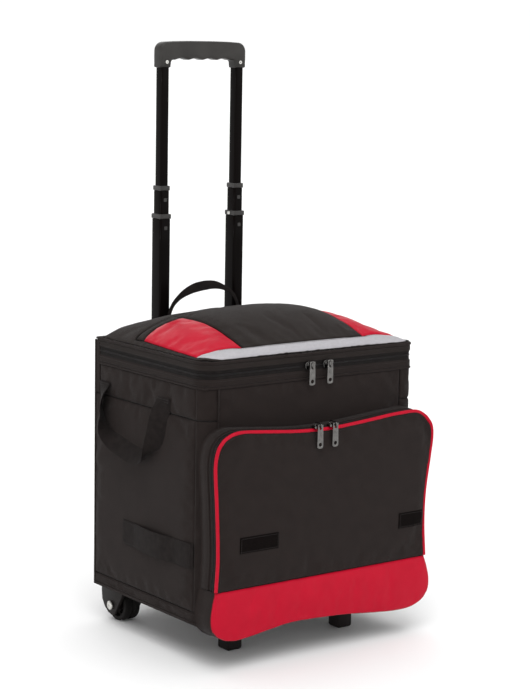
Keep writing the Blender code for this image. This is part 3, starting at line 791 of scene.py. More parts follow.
def makeLidZip():
    z = bag["zip"]
    top = bag["lidEdge"]
    skirt = [(-2.6, top - 0.2), (-0.6, top - 0.1), (0.25, top - 2.6), (0.5, top - 6.0), (0.35, top - 9.2),
             (-0.3, top - 10.2), (-1.2, top - 10.2), (-1.4, top - 9.0), (-1.5, top - 3.0), (-2.6, top - 2.0)]
    settle(rimSweep("lidSkirt", skirt, litLidFabric), "lid", "black_fabric", "lid_band")
    settle(rimSweep("lidPiping", circle(zipStyle["pipingRadius"]), fabric, z=top + 0.4, inset=0.3), "lid",
           "black_fabric")
    tape = [(-1.2, z + 7.5), (-0.9, z + 7.5), (-0.8, z + 5), (-1.0, z + 2.2), (-1.3, z + 1.3),
            (-2.6, z + 1.3), (-2.6, z + 7.5)]
    settle(rimSweep("lidZipTape", tape, zipTape), "lid", "black_fabric")
    low = [(a, 2 * z - b - 0.2) for a, b in tape]
    settle(rimSweep("bodyZipTape", low[::-1], zipTape), "bag", "black_fabric", "body_zip_band")
    fold = [(-2.2, z - 6.2), (-0.5, z - 6.0), (0.3, z - 7.2), (0.6, z - 11), (0.4, z - 15), (-0.4, z - 17.2),
            (-2.4, z - 17.4)]
    settle(rimSweep("bodyZipFold", fold[::-1], fabric), "bag", "black_fabric")
    settle(rimSweep("rimWelt", circle(zipStyle["welt"], 8), fabric, z=bag["rim"] + 0.4, inset=-0.1), "bag",
           "black_fabric")
    for name, height, body in (("lidTeeth", z + 0.75, "lid"), ("bodyTeeth", z - 0.75, "bag")):
        path, out = rimRow(height, 1.0, spacing=2.0)
        row = teethRow(name, path, out, (0, 0, 1), toothNylon, shift=0.5 if body == "lid" else -0.5)
        settle(row, body, "black_fabric")
    for name, height, inset, body in (("lidSkirtStitches", top - 3.6, -0.35, "lid"),
                                      ("lidTapeStitches", z + 7.6, -0.45, "lid"), ("bodyTapeStitches",
                                              z - 8.6, -0.55, "bag"), ("rimStitches", z - 14.6, -0.55,
                                                      "bag")):
        path, out = rimRow(height, inset)
        settle(stitchRow(name, path, out), body, "black_fabric")


makeLidZip()
print("lid zip made")


lidStyle = {
    "rise": 41.0,
    "edgeLift": 3.3,
    "lift": 6.0,
    "seamGap": 0.5,
    "innerEdge": [(104, -116.5), (105, -90), (104.5, -61), (103.5, -28), (103, 0), (102.5, 30)],
    "wingRear": [(170.5, 24), (153, 31.5), (136, 34.5), (118, 34), (102.5, 30)],
    "wingOuter": [(173.5, -108.5), (173.5, -60), (172.5, -20), (170.5, 24)],
    "wingFront": [(104, -116.5), (120, -112), (138, -109), (156, -108.2), (173.5, -108.5)],
    "rearArc": [(171, 42), (152, 46.5), (131, 49.5), (115, 51.2), (101, 52.5)],
    "rearMiddle": [(101, 52.5), (50, 58), (0, 60), (-50, 58), (-101, 52.5)],
    "stripFront": [(-173, -111.5), (-167.5, -122.5), (-155, -131), (-138, -133.8), (0, -134.2), (138, -134),
                   (161, -133.6), (172, -131), (175.5, -124)],
    "stripRear": [(-173.5, -108.5), (-156, -108.2), (-138, -109), (-120, -112), (-104, -116.5), (-59, -118.5),
                  (0, -119), (59, -118.5), (104, -116.5), (120, -112), (138, -109), (156, -108.2),
                  (175.5, -108.5)],
}


def domeHeight(x, y):
    front, back, half = bag["front"], bag["back"], bag["halfWide"]
    along = np.clip((y - front) / (back - front), 0, 1)
    wave = np.maximum(np.sin(np.pi * along), 0)
    # the rear corners stand fuller than the middle
    rearFullness = 0.5 - 0.3 * np.clip(np.abs(x) / 150, 0, 1) ** 2
    wave = np.where(along < 0.5, wave**0.9, wave**rearFullness)
    across = 1 - np.clip(np.abs(x) / half, 0, 1) ** 2.6
    edge = np.minimum(half - np.abs(x), np.minimum(y - front, back - y))
    lift = lidStyle["edgeLift"] + (lidStyle["lift"] - lidStyle["edgeLift"]) * np.clip(edge / 14, 0, 1)
    return bag["lidEdge"] + lift + lidStyle["rise"] * across * wave


def onDome(flat):
    return np.concatenate([flat, domeHeight(flat[..., 0], flat[..., 1])[..., None]], -1)


def mirror(points, sign):
    return [(sign * a, b) for a, b in points]


# a line down one side of the middle, carried on up the other side
def mirrored(points):
    return list(points) + mirror(points, -1)[::-1]


# plan of the lid's edge: tight at the rear corners, rounder at the front ones
def lidOutline(spacing=3.0):
    x, front, back = bag["halfWide"] - 0.8, bag["front"] + 0.8, bag["back"] - 0.5
    line = []
    corners = ((x, back, 12, 0), (-x, back, 12, 90), (-x, front, bag["cornerRadius"], 180),
               (x, front, bag["rightCornerRadius"], 270))
    for cx, cy, radius, first in corners:
        for k in range(11):
            t = math.radians(first + 9 * k)
            line.append((math.copysign(abs(cx) - radius, cx) + radius * math.cos(t),
                         cy - math.copysign(radius, cy) + radius * math.sin(t)))
    line.append(line[0])
    return resampled(line, spacing)


# where rays from a centre meet a closed line
def byAngle(line, centre, angles):
    d = line - np.array(centre)
    bearing = np.unwrap(np.arctan2(d[:, 1], d[:, 0]))
    reach = np.hypot(d[:, 0], d[:, 1])
    if bearing[-1] < bearing[0]:
        bearing, reach = bearing[::-1], reach[::-1]
    first = bearing[0]
    where = (angles - first) % (2 * math.pi) + first
    r = np.interp(where, bearing, reach)
    return np.stack([centre[0] + r * np.cos(angles), centre[1] + r * np.sin(angles)], -1)


def shifted(points, dx, dy=0.0):
    return [(a + dx, b + dy) for a, b in points]


def lidPiece(name, surface, size, look, seed, node=None, slotName="black_fabric", **style):
    style = {"slack": 0.012, "pressure": 1.6, "cap": 3.4, "tuck": 1.6, **style}
    piece = sewnPanel(name, lambda u, v: onDome(surface(u, v)), size, look, False, seed=seed, **style)
    return settle(piece, "lid", slotName, *([node] if node else []))


# a four-sided patch drawn for the right half, mirrored for the left one
def onSide(bottom, right, top, left, sign):
    if sign > 0:
        return fourSided(bottom, right, top, left)
    return fourSided(mirror(bottom, -1)[::-1], mirror(left, -1), mirror(top, -1)[::-1], mirror(right, -1))


def makeLid():
    g = lidStyle["seamGap"]
    inner, arc, rearMiddle = lidStyle["innerEdge"], lidStyle["rearArc"], lidStyle["rearMiddle"]
    rightEdge = shifted(inner + [(101, 52.5 - g)], -g)
    front = [(-104 + g, -116.5 + g), (-59, -118.5 + g), (0, -119 + g), (59, -118.5 + g),
             (104 - g, -116.5 + g)]
    middle = fourSided(front, rightEdge, shifted(rearMiddle[::-1], 0, -g), mirror(rightEdge, -1))
    centre = lidPiece("lidCentrePanel", middle, (205, 175), litLidFabric, 21, "lid_panel")
    for label, sign in sides:
        wing = onSide(shifted(lidStyle["wingFront"], 0, g), lidStyle["wingOuter"],
                      shifted(lidStyle["wingRear"][::-1], 0, -g), shifted(inner, g), sign)
        piece = lidPiece(f"{label}LidWing", wing, (70, 143), vinyl, 23 + sign, f"lid_{label}_wing",
                         "red_vinyl")
        band = onSide(shifted(lidStyle["wingRear"][::-1], 0, g), [(170.5, 24 + g), (171, 42 - g)],
                      shifted(arc[::-1], 0, -g), [(102.5 + g, 30 + g), (101 + g, 52 - g)], sign)
        lidPiece(f"{label}LidBand", band, (70, 19), litLidFabric, 27 + sign, cap=1.6, simCell=4)
    strip = fourSided(lidStyle["stripFront"], [(175.5, -124), (175.5, -108.5 - g)],
                      shifted(lidStyle["stripRear"], 0, -g), [(-173, -111.5), (-173.5, -108.5 - g)])
    lidPiece("lidSilverStrip", strip, (352, 16), silverTape, 29, "lid_strip", "grey_tape", slack=0.006,
             pressure=0.5, cap=0.8, tuck=0.8, simCell=5.5)

    side = [(174.2, -111), (174.3, -60), (173.3, -20), (171.6, 24), (171.8, 42 + g)]
    rearRun = shifted(rearMiddle[1:-1], 0, g) + shifted(mirror(arc[::-1], -1), 0, g)
    rearLine = shifted(arc[1:], 0, g) + rearRun[:-1]
    hole = side + rearLine + mirror(side[::-1], -1) + [(-168.3, -123.2), (-155.3, -131.8), (-138, -134.4),
                                                       (0, -134.8), (138, -134.6), (161, -134.2),
                                                       (172.6, -131.6), (176.2, -124)]
    inside = rounded(hole, 1.0, closed=True)
    inside = np.vstack([inside, inside[:1]])
    outside = lidOutline(1.0)

    def border(u, v):
        angles = u * 2 * math.pi - math.pi / 2
        near = byAngle(inside, (0.0, -20.0), angles)
        far = byAngle(outside, (0.0, -20.0), angles)
        return far + (near - far) * v[..., None]

    lidPiece("lidBorder", border, (1150, 22), litLidFabric, 31, slack=0.01, pressure=0.8, cap=1.6, tuck=1.4,
             closed=True, simCell=6)

    def seamRow(name, points, inset):
        flat = rounded(points, 2.0)
        t = tangentsOf(flat)
        flat = flat + np.stack([t[:, 1], -t[:, 0]], -1) * inset
        settle(stitchRow(name, onDome(flat) + (0, 0, 0.55), (0, 0, 1)), "lid", "black_fabric")

    whole = side[1:-1] + shifted(arc, 0, g) + rearRun
    whole += mirror(side[1:-1][::-1], -1)
    seamRow("lidArcStitches", whole[3:-3], -3.4)
    seamRow("lidArcOuterStitches", whole[3:-3], 3.4)
    for label, sign in sides:
        seamRow(f"{label}WingStitches", mirror(inner, sign), -3.0 * sign)
        seamRow(f"{label}WingRearStitches", mirror(lidStyle["wingRear"][1:-1], sign), -3.0 * sign)
    flat = rounded([(x, y - 3.4) for x, y in lidStyle["stripRear"][2:-2]], 2.0)
    settle(stitchRow("stripStitches", onDome(flat) + (0, 0, 0.55), (0, 0, 1)), "lid", "black_fabric")


# a dark lining close under the lid's panels, so the foam doesn't show through their seams
def makeLidBacking():
    outline, middle = lidOutline(4.0)[:-1], np.array([0.0, 4.0])
    shares = (0.985, 0.96, 0.92, 0.86, 0.76, 0.62, 0.44, 0.26, 0.06)
    rings = []
    for drop, order in ((2.9, shares), (3.6, shares[::-1])):
        for share in order:
            flat = middle + (outline - middle) * share
            rings.append(onDome(flat) - (0, 0, drop))
    backing = meshPiece("lidBacking", np.array(rings), gridFaces(len(rings), len(outline), True, True),
                        zipTape)
    fixNormals(backing, 40)
    settle(backing, "lid", "black_fabric")


makeLid()
makeLidBacking()
print("lid sewn")


pocketStyle = {
    "seam": 111.8,
    "face": -174.2,
    "pipingRadius": 2.5,
    "zipDepth": 13.0,  # how far the zip lies behind the face
    "left": [(-183, 112.3), (-180.5, 160), (-183, 224), (-186, 270), (-185.5, 290), (-181, 306), (-172, 317)],
    "top": [(-172, 317), (-158, 323), (-140, 324.5), (-100, 321), (-47, 316.2), (8, 315), (64, 318.5),
            (110, 322.5), (148, 324), (164, 321.5), (177, 314)],
    "right": [(181, 112.3), (177.5, 162), (179, 208), (186, 256), (189.5, 284), (187, 301), (177, 314)],
    "lowLeft": [(-178, 50), (-187, 60), (-190, 75), (-187.5, 92), (-183, 111.3)],
    "low": [(-178, 50), (-164, 43), (-146, 40.5), (-118, 43), (-92, 46.5), (-54, 50.5), (0, 49), (44, 46),
            (90, 41), (126, 37.8), (154, 38), (171, 42.5), (182, 50)],
    "lowRight": [(182, 50), (190, 61), (192, 75), (188, 93), (181, 111.3)],
}


def pocketLine(name, spacing=3.0):
    return rounded(pocketStyle[name], spacing)


# a front-view line at a depth, as points
def upright(flat, y):
    return np.column_stack([flat[:, 0], np.full(len(flat), float(y)), flat[:, 1]])


# outward directions of a front-view line that runs up the left, along the top and down the right
def outwardOf(flat, closed=False):
    t = tangentsOf(flat, closed)
    return np.column_stack([-t[:, 1], np.zeros(len(t)), t[:, 0]])


def upperRun(spacing=3.0):
    line = np.vstack([pocketLine("left", 0.5), pocketLine("top", 0.5)[1:],
                      pocketLine("right", 0.5)[::-1][1:]])
    return resampled(line, spacing)


def lowerRun(spacing=3.0):
    line = np.vstack([pocketLine("lowRight", 0.5)[::-1], pocketLine("low", 0.5)[::-1][1:],
                      pocketLine("lowLeft", 0.5)[1:]])
    return resampled(line, spacing)


def pocketSweep(name, section, look, run, y=0.0, inset=0.0):
    out = outwardOf(run)
    path = upright(run, y) - out * inset
    return sweep(name, path, out, (0, 1, 0), section, look)


def makePocket():
    face, seam = pocketStyle["face"], pocketStyle["seam"]

    def onFace(surface, lean=0.0):
        def at(u, v):
            flat = surface(u, v)
            y = np.full(flat.shape[:-1], face) - lean * np.sin(np.pi * u) * np.sin(np.pi * v)
            return np.stack([flat[..., 0], y, flat[..., 1]], -1)
        return at

    left, right = pocketStyle["left"], pocketStyle["right"]
    flap = fourSided([left[0], right[0]], right, pocketStyle["top"], left)
    piece = sewnPanel("pocketFlapPanel", onFace(flap, 1.2), (364, 208), fabric, False, slack=0.010,
                      pressure=1.1, cap=3.4, tuck=1.2, seed=41, simCell=7.5, bend=0.8)
    settle(piece, "pocket_flap", "black_fabric", "pocket_flap")
    base = fourSided(pocketStyle["low"], pocketStyle["lowRight"], [pocketStyle["lowLeft"][-1],
            pocketStyle["lowRight"][-1]], pocketStyle["lowLeft"])
    piece = sewnPanel("pocketRedBase", onFace(base, 2.2), (370, 65), vinyl, False, slack=0.004, pressure=1.6,
                      cap=4.0, tuck=2.6, seed=43, simCell=6)
    settle(piece, "bag", "red_vinyl", "pocket_base")

    upper = upperRun()
    piece = pocketSweep("pocketPiping", circle(pocketStyle["pipingRadius"], 12), vinyl, upper, face + 1.2,
                        0.6)
    settle(piece, "pocket_flap", "red_vinyl", "pocket_piping")
    x = pocketStyle["left"][0][0]
    tape = [(x + 1, face + 2.6, seam + 0.3), (0, face + 2.6, seam + 0.3), (-x - 3, face + 2.6, seam + 0.3)]
    settle(ribbon("pocketSeamTape", tape, [(0, 0, 1)] * 3, 16, 1.2, zipTape, 6), "bag", "black_fabric")
    # fabric from the piping back to the bag, from front to rear
    zipAt = pocketStyle["zipDepth"]
    tape = [(-1.2, 0), (-0.3, 0.4), (0.5, 2.4), (0.6, 5.4), (-0.2, zipAt - 5.4), (-0.9, zipAt - 5.0),
            (-0.9, zipAt - 3.4), (-2.4, zipAt - 3.4), (-2.4, 0)]
    settle(pocketSweep("pocketFlapTape", tape, zipTape, upper, face + 2.4), "pocket_flap", "black_fabric")
    rear = bag["front"] - face - 0.6
    gusset = [(-1.4, zipAt + 1.9), (-0.9, zipAt + 1.9), (-0.8, zipAt + 4.4), (0.6, zipAt + 4.8),
              (1.3, zipAt + 7), (1.5, 26), (1.0, 31), (0.4, rear - 2.0), (1.6, rear - 0.4), (-2.6, rear),
              (-2.6, zipAt + 6), (-2.4, zipAt + 1.9)]
    settle(pocketSweep("pocketUpperGusset", gusset, fabric, upper, face), "bag", "black_fabric",
           "pocket_gusset")
    hem = [(-3.5, 1.2), (-0.4, 2.0), (0.6, 8), (0.4, 20), (0.2, rear - 2.0), (1.4, rear - 0.4), (-2.8, rear),
           (-3.0, 12)]
    lower = lowerRun()
    settle(pocketSweep("pocketLowerGusset", hem, fabric, lower, face), "bag", "black_fabric")
    for name, y, body, shift in (("pocketFlapTeeth", face + zipAt - 0.7, "pocket_flap", 0.5),
                                 ("pocketGussetTeeth", face + zipAt + 0.7, "bag", -0.5)):
        out = outwardOf(upper)
        path = upright(upper, y) - out * 1.1
        row = teethRow(name, path, out, (0, 1, 0), toothNylon, 2.1, (1.5, 1.2, 1.2), shift)
        settle(row, body, "black_fabric")
    out = outwardOf(upper)
    for name, y, lift, body in (("flapTapeStitches", face + 6.6, 0.35, "pocket_flap"),
                                ("gussetStitches", face + zipAt + 6.4, 1.15, "bag"),
                                ("gussetRearStitches", face + rear - 4.5, 0.75, "bag")):
        settle(stitchRow(name, upright(upper, y) + out * lift, out), body, "black_fabric")
    edge = upright(upper, face - 0.4) - out * 5.4
    settle(stitchRow("flapEdgeStitches", edge, (0, -1, 0)), "pocket_flap", "black_fabric")


makePocket()


# a finished piece's faces, for laying trims on it
def surfaceUnder(name):
    return BVHTree.FromObject(bpy.data.objects[name], bpy.context.evaluated_depsgraph_get())


def hit(tree, start, direction, fallback):
    local = Vector(start) * mm
    found = tree.ray_cast(local, Vector(direction))
    return np.array(found[0]) / mm if found[0] is not None else np.array(fallback, float)


patchStyle = {"left": (-148, -84, 161, 183), "right": (127, 172, 158.5, 180.5)}


def makePatches():
    tree = surfaceUnder("pocketFlapPanel")
    for label in ("left", "right"):
        x0, x1, z0, z1 = patchStyle[label]

        def pad(u, v):
            x, z = x0 + (x1 - x0) * u, z0 + (z1 - z0) * v
            y = np.array([hit(tree, (a, -260, b), (0, 1, 0), (a, pocketStyle["face"], b))[1]
                          for a, b in zip(x.ravel(), z.ravel())]).reshape(x.shape)
            return np.stack([x, y - 1.3, z], -1)

        piece = sewnPanel(f"{label}LoopPatch", pad, (x1 - x0, z1 - z0), loopPile, False, cap=0, tuck=0.8,
                          thick=1.4, cell=3)
        settle(piece, "pocket_flap", "black_fabric")
        border = [(x0 + 2, z0 + 2), (x1 - 2, z0 + 2), (x1 - 2, z1 - 2), (x0 + 2, z1 - 2), (x0 + 2, z0 + 2)]
        line = resampled(border, 2.5)
        path = [hit(tree, (a, -260, b), (0, 1, 0), (a, pocketStyle["face"], b)) - (0, 1.45, 0)
                for a, b in line]
        settle(stitchRow(f"{label}PatchStitches", path, (0, -1, 0)), "pocket_flap", "black_fabric")


makePatches()
print("pocket made")


# a plate from closed flat lines, the first its outline and the others holes, with rounded edges
def flatPlate(name, lines, thick, edge, look, place):
    curve = bpy.data.curves.new(name + "Lines", "CURVE")
    curve.dimensions = "2D"
    curve.fill_mode = "BOTH"
    curve.extrude = (thick / 2 - edge) * mm
    curve.bevel_depth = edge * mm
    curve.bevel_resolution = 3
    curve.offset = -edge * mm
    for line in lines:
        spline = curve.splines.new("POLY")
        spline.points.add(len(line) - 1)
        for point, (a, b) in zip(spline.points, line):
            point.co = (a * mm, b * mm, 0, 1)
        spline.use_cyclic_u = True
    holder = placed(name + "Lines", curve)
    bpy.context.view_layer.update()
    mesh = bpy.data.meshes.new_from_object(holder.evaluated_get(bpy.context.evaluated_depsgraph_get()))
    bpy.data.objects.remove(holder)
    mesh.name = name
    mesh.materials.clear()
    mesh.materials.append(look)
    mesh.transform(place)
    piece = placed(name, mesh)
    piece.location = (0, bagY, 0)
    shape = bmesh.new()
    shape.from_mesh(mesh)
    bmesh.ops.remove_doubles(shape, verts=shape.verts, dist=0.00001)
    bmesh.ops.recalc_face_normals(shape, faces=shape.faces)
    shape.to_mesh(mesh)
    shape.free()
    mesh.shade_smooth()
    mesh.set_sharp_from_angle(angle=math.radians(35))
    return piece


def lyingFlat(x, y, z):
    return Matrix.Translation(Vector((x, y, z)) * mm)


# turns a flat drawing to stand in the XZ plane at a place in millimetres
def facingFront(x, y, z):
    return lyingFlat(x, y, z) @ Matrix.Rotation(math.pi / 2, 4, "X")


# turns a flat drawing to stand in the YZ plane at a place in millimetres
def facingSide(x, y, z):
    turn = Matrix(((0, 0, 1), (1, 0, 0), (0, 1, 0))).to_4x4()
    return lyingFlat(x, y, z) @ turn


def makeSliders():
    for place in ("lid", "pocket"):
        for label, _ in sides:
            name = f"{place}_{label}"
            low, high = corner(f"{name}_slider", 0), corner(f"{name}_slider", 1)
            pullLow, pullHigh = corner(f"{name}_pull", 0), corner(f"{name}_pull", 1)
            x, pinY, pinZ = (low.x + high.x) / 2, (pullLow.y + pullHigh.y) / 2, pullHigh.z - 2.1
            wide = (high.x - low.x) * 1.25
            if place == "lid":
                shield = mirrored([(2.2, -5.6), (wide / 2 - 0.6, -4.2), (wide / 2, 0), (wide / 2 - 0.5, 3.6),
                                   (2.0, 5.2)])
                z = (low.z + high.z) / 2
                body = flatPlate(f"{name}_sliderBody", [rounded(shield, 0.8, True).tolist()], 2.4, 0.5,
                                 gunmetal, facingFront(x, high.y - 2.2, z))
                bridgeStops = [(x, high.y - 3.2, z + 4.6), (x, low.y - 0.6, z + 3.9),
                               (x, low.y - 1.4, z + 0.5), (x, low.y - 0.2, z - 3.6),
                               (x, high.y - 3.2, z - 4.4)]
            else:
                shield = mirrored([(2.2, -5.6), (wide / 2 - 0.6, -4.6), (wide / 2, 0), (wide / 2 - 0.5, 4.4),
                                   (2.0, 5.4)])
                y = (low.y + high.y) / 2 + 0.6
                body = flatPlate(f"{name}_sliderBody", [rounded(shield, 0.8, True).tolist()], 3.0, 0.6,
                                 gunmetal, lyingFlat(x, y, low.z + 0.2))
                bridgeStops = [(x, y + 4.6, low.z + 1.2), (x, y + 3.6, high.z + 0.6),
                               (x, y - 1.5, high.z + 0.9), (x, low.y - 1.0, high.z - 0.4),
                               (x, low.y - 1.6, low.z + 0.6)]
            settle(body, name + "_slider", "dark_metal", name + "_slider")
            line = rounded(bridgeStops, 0.6)
            bridge = sweep(f"{name}_bridge", line, (1, 0, 0),
                           np.cross(tangentsOf(line), (1.0, 0, 0)), roundedBox(2.4, 1.1, 0.4, 2), gunmetal)
            settle(bridge, name + "_slider", "dark_metal")
            # the tab hangs from the bridge: a narrow neck with a slot, then a long plate with a round hole
            length = pinZ - pullLow.z
            half = (pullHigh.x - pullLow.x) / 2 * 1.45
            tab = [(-half + 0.7, 2.0), (-half + 0.1, 0.4), (-half + 0.3, -5.5), (-half, -9),
                   (-half - 0.25, -length + 4), (-half + 0.7, -length + 1.0), (0, -length),
                   (half - 0.7, -length + 1.0), (half + 0.25, -length + 4), (half, -9), (half - 0.3, -5.5),
                   (half - 0.1, 0.4), (half - 0.7, 2.0), (0, 2.5)]
            slotLine = [(-1.5, -4.2), (-1.6, -1.0), (-1.0, 0.9), (1.0, 0.9), (1.6, -1.0), (1.5, -4.2),
                        (0, -5.0)]
            hole = (circle(2.5, 20) + (0, -length + 5.6)).tolist()
            pull = flatPlate(f"{name}_pullTab", [rounded(tab, 0.9, True).tolist(), rounded(slotLine, 0.6,
                    True).tolist(), hole], 1.9, 0.45, gunmetal, facingFront(x, pinY, pinZ))
            settle(pull, name + "_pull", "dark_metal", name + "_pull")
            for number, height in enumerate((-9.6, -11.4, -13.2, -15.0)):
                if -height > length - 9:
                    continue
                bar = flatPlate(f"{name}_pullRib{number}",
                                [rounded([(-2.0, height - 0.35), (-2.1, height + 0.35), (2.1, height + 0.35),
                                          (2.0, height - 0.35)], 0.35, True).tolist()], 2.5, 0.25, gunmetal,
                                facingFront(x, pinY, pinZ))
                bar.parent = pull
                bar.matrix_parent_inverse = pull.matrix_world.inverted()


makeSliders()
print("sliders made")


strapStyle = {
    "width": 35.0,
    "thick": 1.9,
    # depth along the bag, then how far it stands off the wall
    "stops": [(51, 0.9), (36, 0.9), (20, 1.0), (8, 3.0), (-8, 5.2), (-28, 6.2), (-48, 5.4), (-63, 3.0),
              (-76, 1.0), (-92, 0.9), (-108, 0.9), (-116.5, 0.4)],
    "seams": (48, 21, -78, -112),
}
wallTrees = {}


# outer face of a finished side wall
def wallAt(sign, y, z):
    label = "left" if sign < 0 else "right"
    name = f"{label}SidePanel" if z < wallStyle["sideSeam"] else f"{label}UpperPanel"
    if name not in wallTrees:
        wallTrees[name] = surfaceUnder(name)
    found = hit(wallTrees[name], (sign * 260, y, z), (-sign, 0, 0), (sign * bag["halfWide"], y, z))
    return abs(found[0])


def makeStraps():
    width, thick = strapStyle["width"], strapStyle["thick"]
    middleZ = (corner("left_side_strap", 0).z + corner("left_side_strap", 1).z) / 2
    for label, sign in sides:
        stops = []
        for y, lift in strapStyle["stops"]:
            face = max(wallAt(sign, y, middleZ + a) for a in (-15, 0, 15))
            stops.append((sign * (face + lift), y, middleZ))
        strap = ribbon(f"{label}SideStrap", stops, [(0, 0, 1)] * len(stops), width, thick, webbing)
        settle(strap, "bag", "black_webbing", f"{label}_side_strap")
        for number, y in enumerate(strapStyle["seams"]):
            face = max(wallAt(sign, y, middleZ + a) for a in (-15, 0, 15)) + 0.9 + thick / 2
            reach = width / 2 - 2.5
            path = [(sign * face, y, middleZ + a) for a in np.linspace(-reach, reach, 12)]
            settle(stitchRow(f"{label}StrapStitches{number}", path, (sign, 0, 0)), "bag", "black_webbing")
        for number, z in enumerate((middleZ - width / 2 + 2.5, middleZ + width / 2 - 2.5)):
            face = wallAt(sign, 35, z) + 0.9 + thick / 2
            path = [(sign * face, y, z) for y in np.linspace(21, 48, 10)]
            settle(stitchRow(f"{label}StrapEdgeStitches{number}", path, (sign, 0, 0)), "bag", "black_webbing")


makeStraps()


sideHandleStyle = {
    "width": 29.0,
    "thick": 2.0,
    "legs": (("Rear", 104), ("Front", -45)),
    "route": [  # rear to front: depth, height, stand-off, then the way its width points: out, back, up
        (104, 354, 1.6, 0, -1, 0), (104, 346, 3.2, 0.2, -0.98, 0), (103, 334, 7, 0.5, -0.86, 0),
        (101, 318, 9.5, 0.62, -0.78, 0), (94, 299, 9.5, 0.64, -0.7, -0.3), (78, 283, 9.5, 0.64, -0.35, -0.65),
        (56, 274, 9.5, 0.66, 0, -0.75), (32, 269, 9.5, 0.66, 0.1, -0.75), (8, 266, 9.5, 0.64, 0.25, -0.72),
        (-13, 269, 9.5, 0.62, 0.4, -0.65), (-30, 281, 9.5, 0.62, 0.6, -0.45), (-39, 300, 9.5, 0.62, 0.76,
                -0.1), (-43, 318, 9, 0.6, 0.8, 0), (-45, 334, 6.5, 0.45, 0.9, 0), (-45, 347, 3, 0.15, 0.98,
                        0), (-45, 354, 1.6, 0, 1, 0)],
}


# webbing loops, sewn flat at the top of both legs and twisting where they turn along the bottom
def makeSideHandles():
    route, width = sideHandleStyle["route"], sideHandleStyle["width"]
    for label, sign in sides:
        base = bag["halfWide"] + 0.8
        stops = [(sign * (base + row[2]), row[0], row[1]) for row in route]
        widths = [(sign * row[3], row[4], row[5]) for row in route]
        handle = ribbon(f"{label}WebHandle", stops, widths, width, sideHandleStyle["thick"], webbing,
                        spacing=2.5)
        settle(handle, f"{label}_side_handle", "black_webbing", f"{label}_side_handle")
        half = width / 2 - 2.4
        for leg, y in sideHandleStyle["legs"]:
            square = [(y - half, 349), (y + half, 349), (y + half, 352.5), (y - half, 352.5), (y - half, 349)]
            line = resampled(square, 2.0)
            path = [(sign * (base + 3.4), a, b) for a, b in line]
            settle(stitchRow(f"{label}{leg}LegStitches", path, (sign, 0, 0)), f"{label}_side_handle",
                   "black_webbing")


makeSideHandles()


haulStyle = {
    "width": 14.0,
    "thick": 1.9,
    "halfSpan": 64,
    # middle of the arch: place across, height and share of the full width
    "stops": [(-64, 416.5, 0.45), (-63, 430, 0.4), (-58, 446, 0.42), (-50, 457, 0.55), (-36, 467, 0.82),
              (-18, 474, 1.0), (2, 477, 1.0), (20, 476.5, 0.85), (38, 470.5, 0.55), (51, 462, 0.42),
              (59, 449, 0.38), (63, 432, 0.4), (64, 416.5, 0.45)],
}


# an arch of webbing behind the lid, broad in the middle and pinched where it is sewn in
def makeHaulHandle():
    low, high = corner("haul_handle", 0), corner("haul_handle", 1)
    y = (low.y + high.y) / 2
    stops = [(x, y, z) for x, z, _ in haulStyle["stops"]]
    narrow = [share for _, _, share in haulStyle["stops"]]
    widths = []
    for x, z, share in haulStyle["stops"]:
        lean = max(-1, min(1, x / haulStyle["halfSpan"]))
        widths.append((lean, 0.14, 0.3 + math.sqrt(max(0, 1 - lean * lean))))
    handle = ribbon("webHaulHandle", stops, widths, haulStyle["width"], haulStyle["thick"], webbing, 2.5,
                    narrow)
    settle(handle, "haul_handle", "black_webbing", "haul_handle")
    for label, sign in sides:
        tab = [(sign * (high.x + 3), y, low.z - 0.2), (sign * (high.x - 1), y, low.z + 4),
               (sign * (high.x - 5), y, low.z + 12)]
        piece = ribbon(f"{label}HaulTab", tab, [(sign * 0.6, 0, 1)] * 3, 9, 3.2, fabric, 1.5, [1, 0.9, 0.5])
        settle(piece, "haul_handle", "black_webbing")


makeHaulHandle()
print("straps and handles made")


towStyle = {
    "rounds": {"outer": 3.4, "lower": 3.4, "middle": 3.4, "upper": 3.0},
    "tubeWall": 0.9,
    "lug": 5.2,
    "lugDrop": 13,
}
stageBodies = {"outer": "bag", "lower": "lower_stage", "middle": "middle_stage", "upper": "upper_stage"}


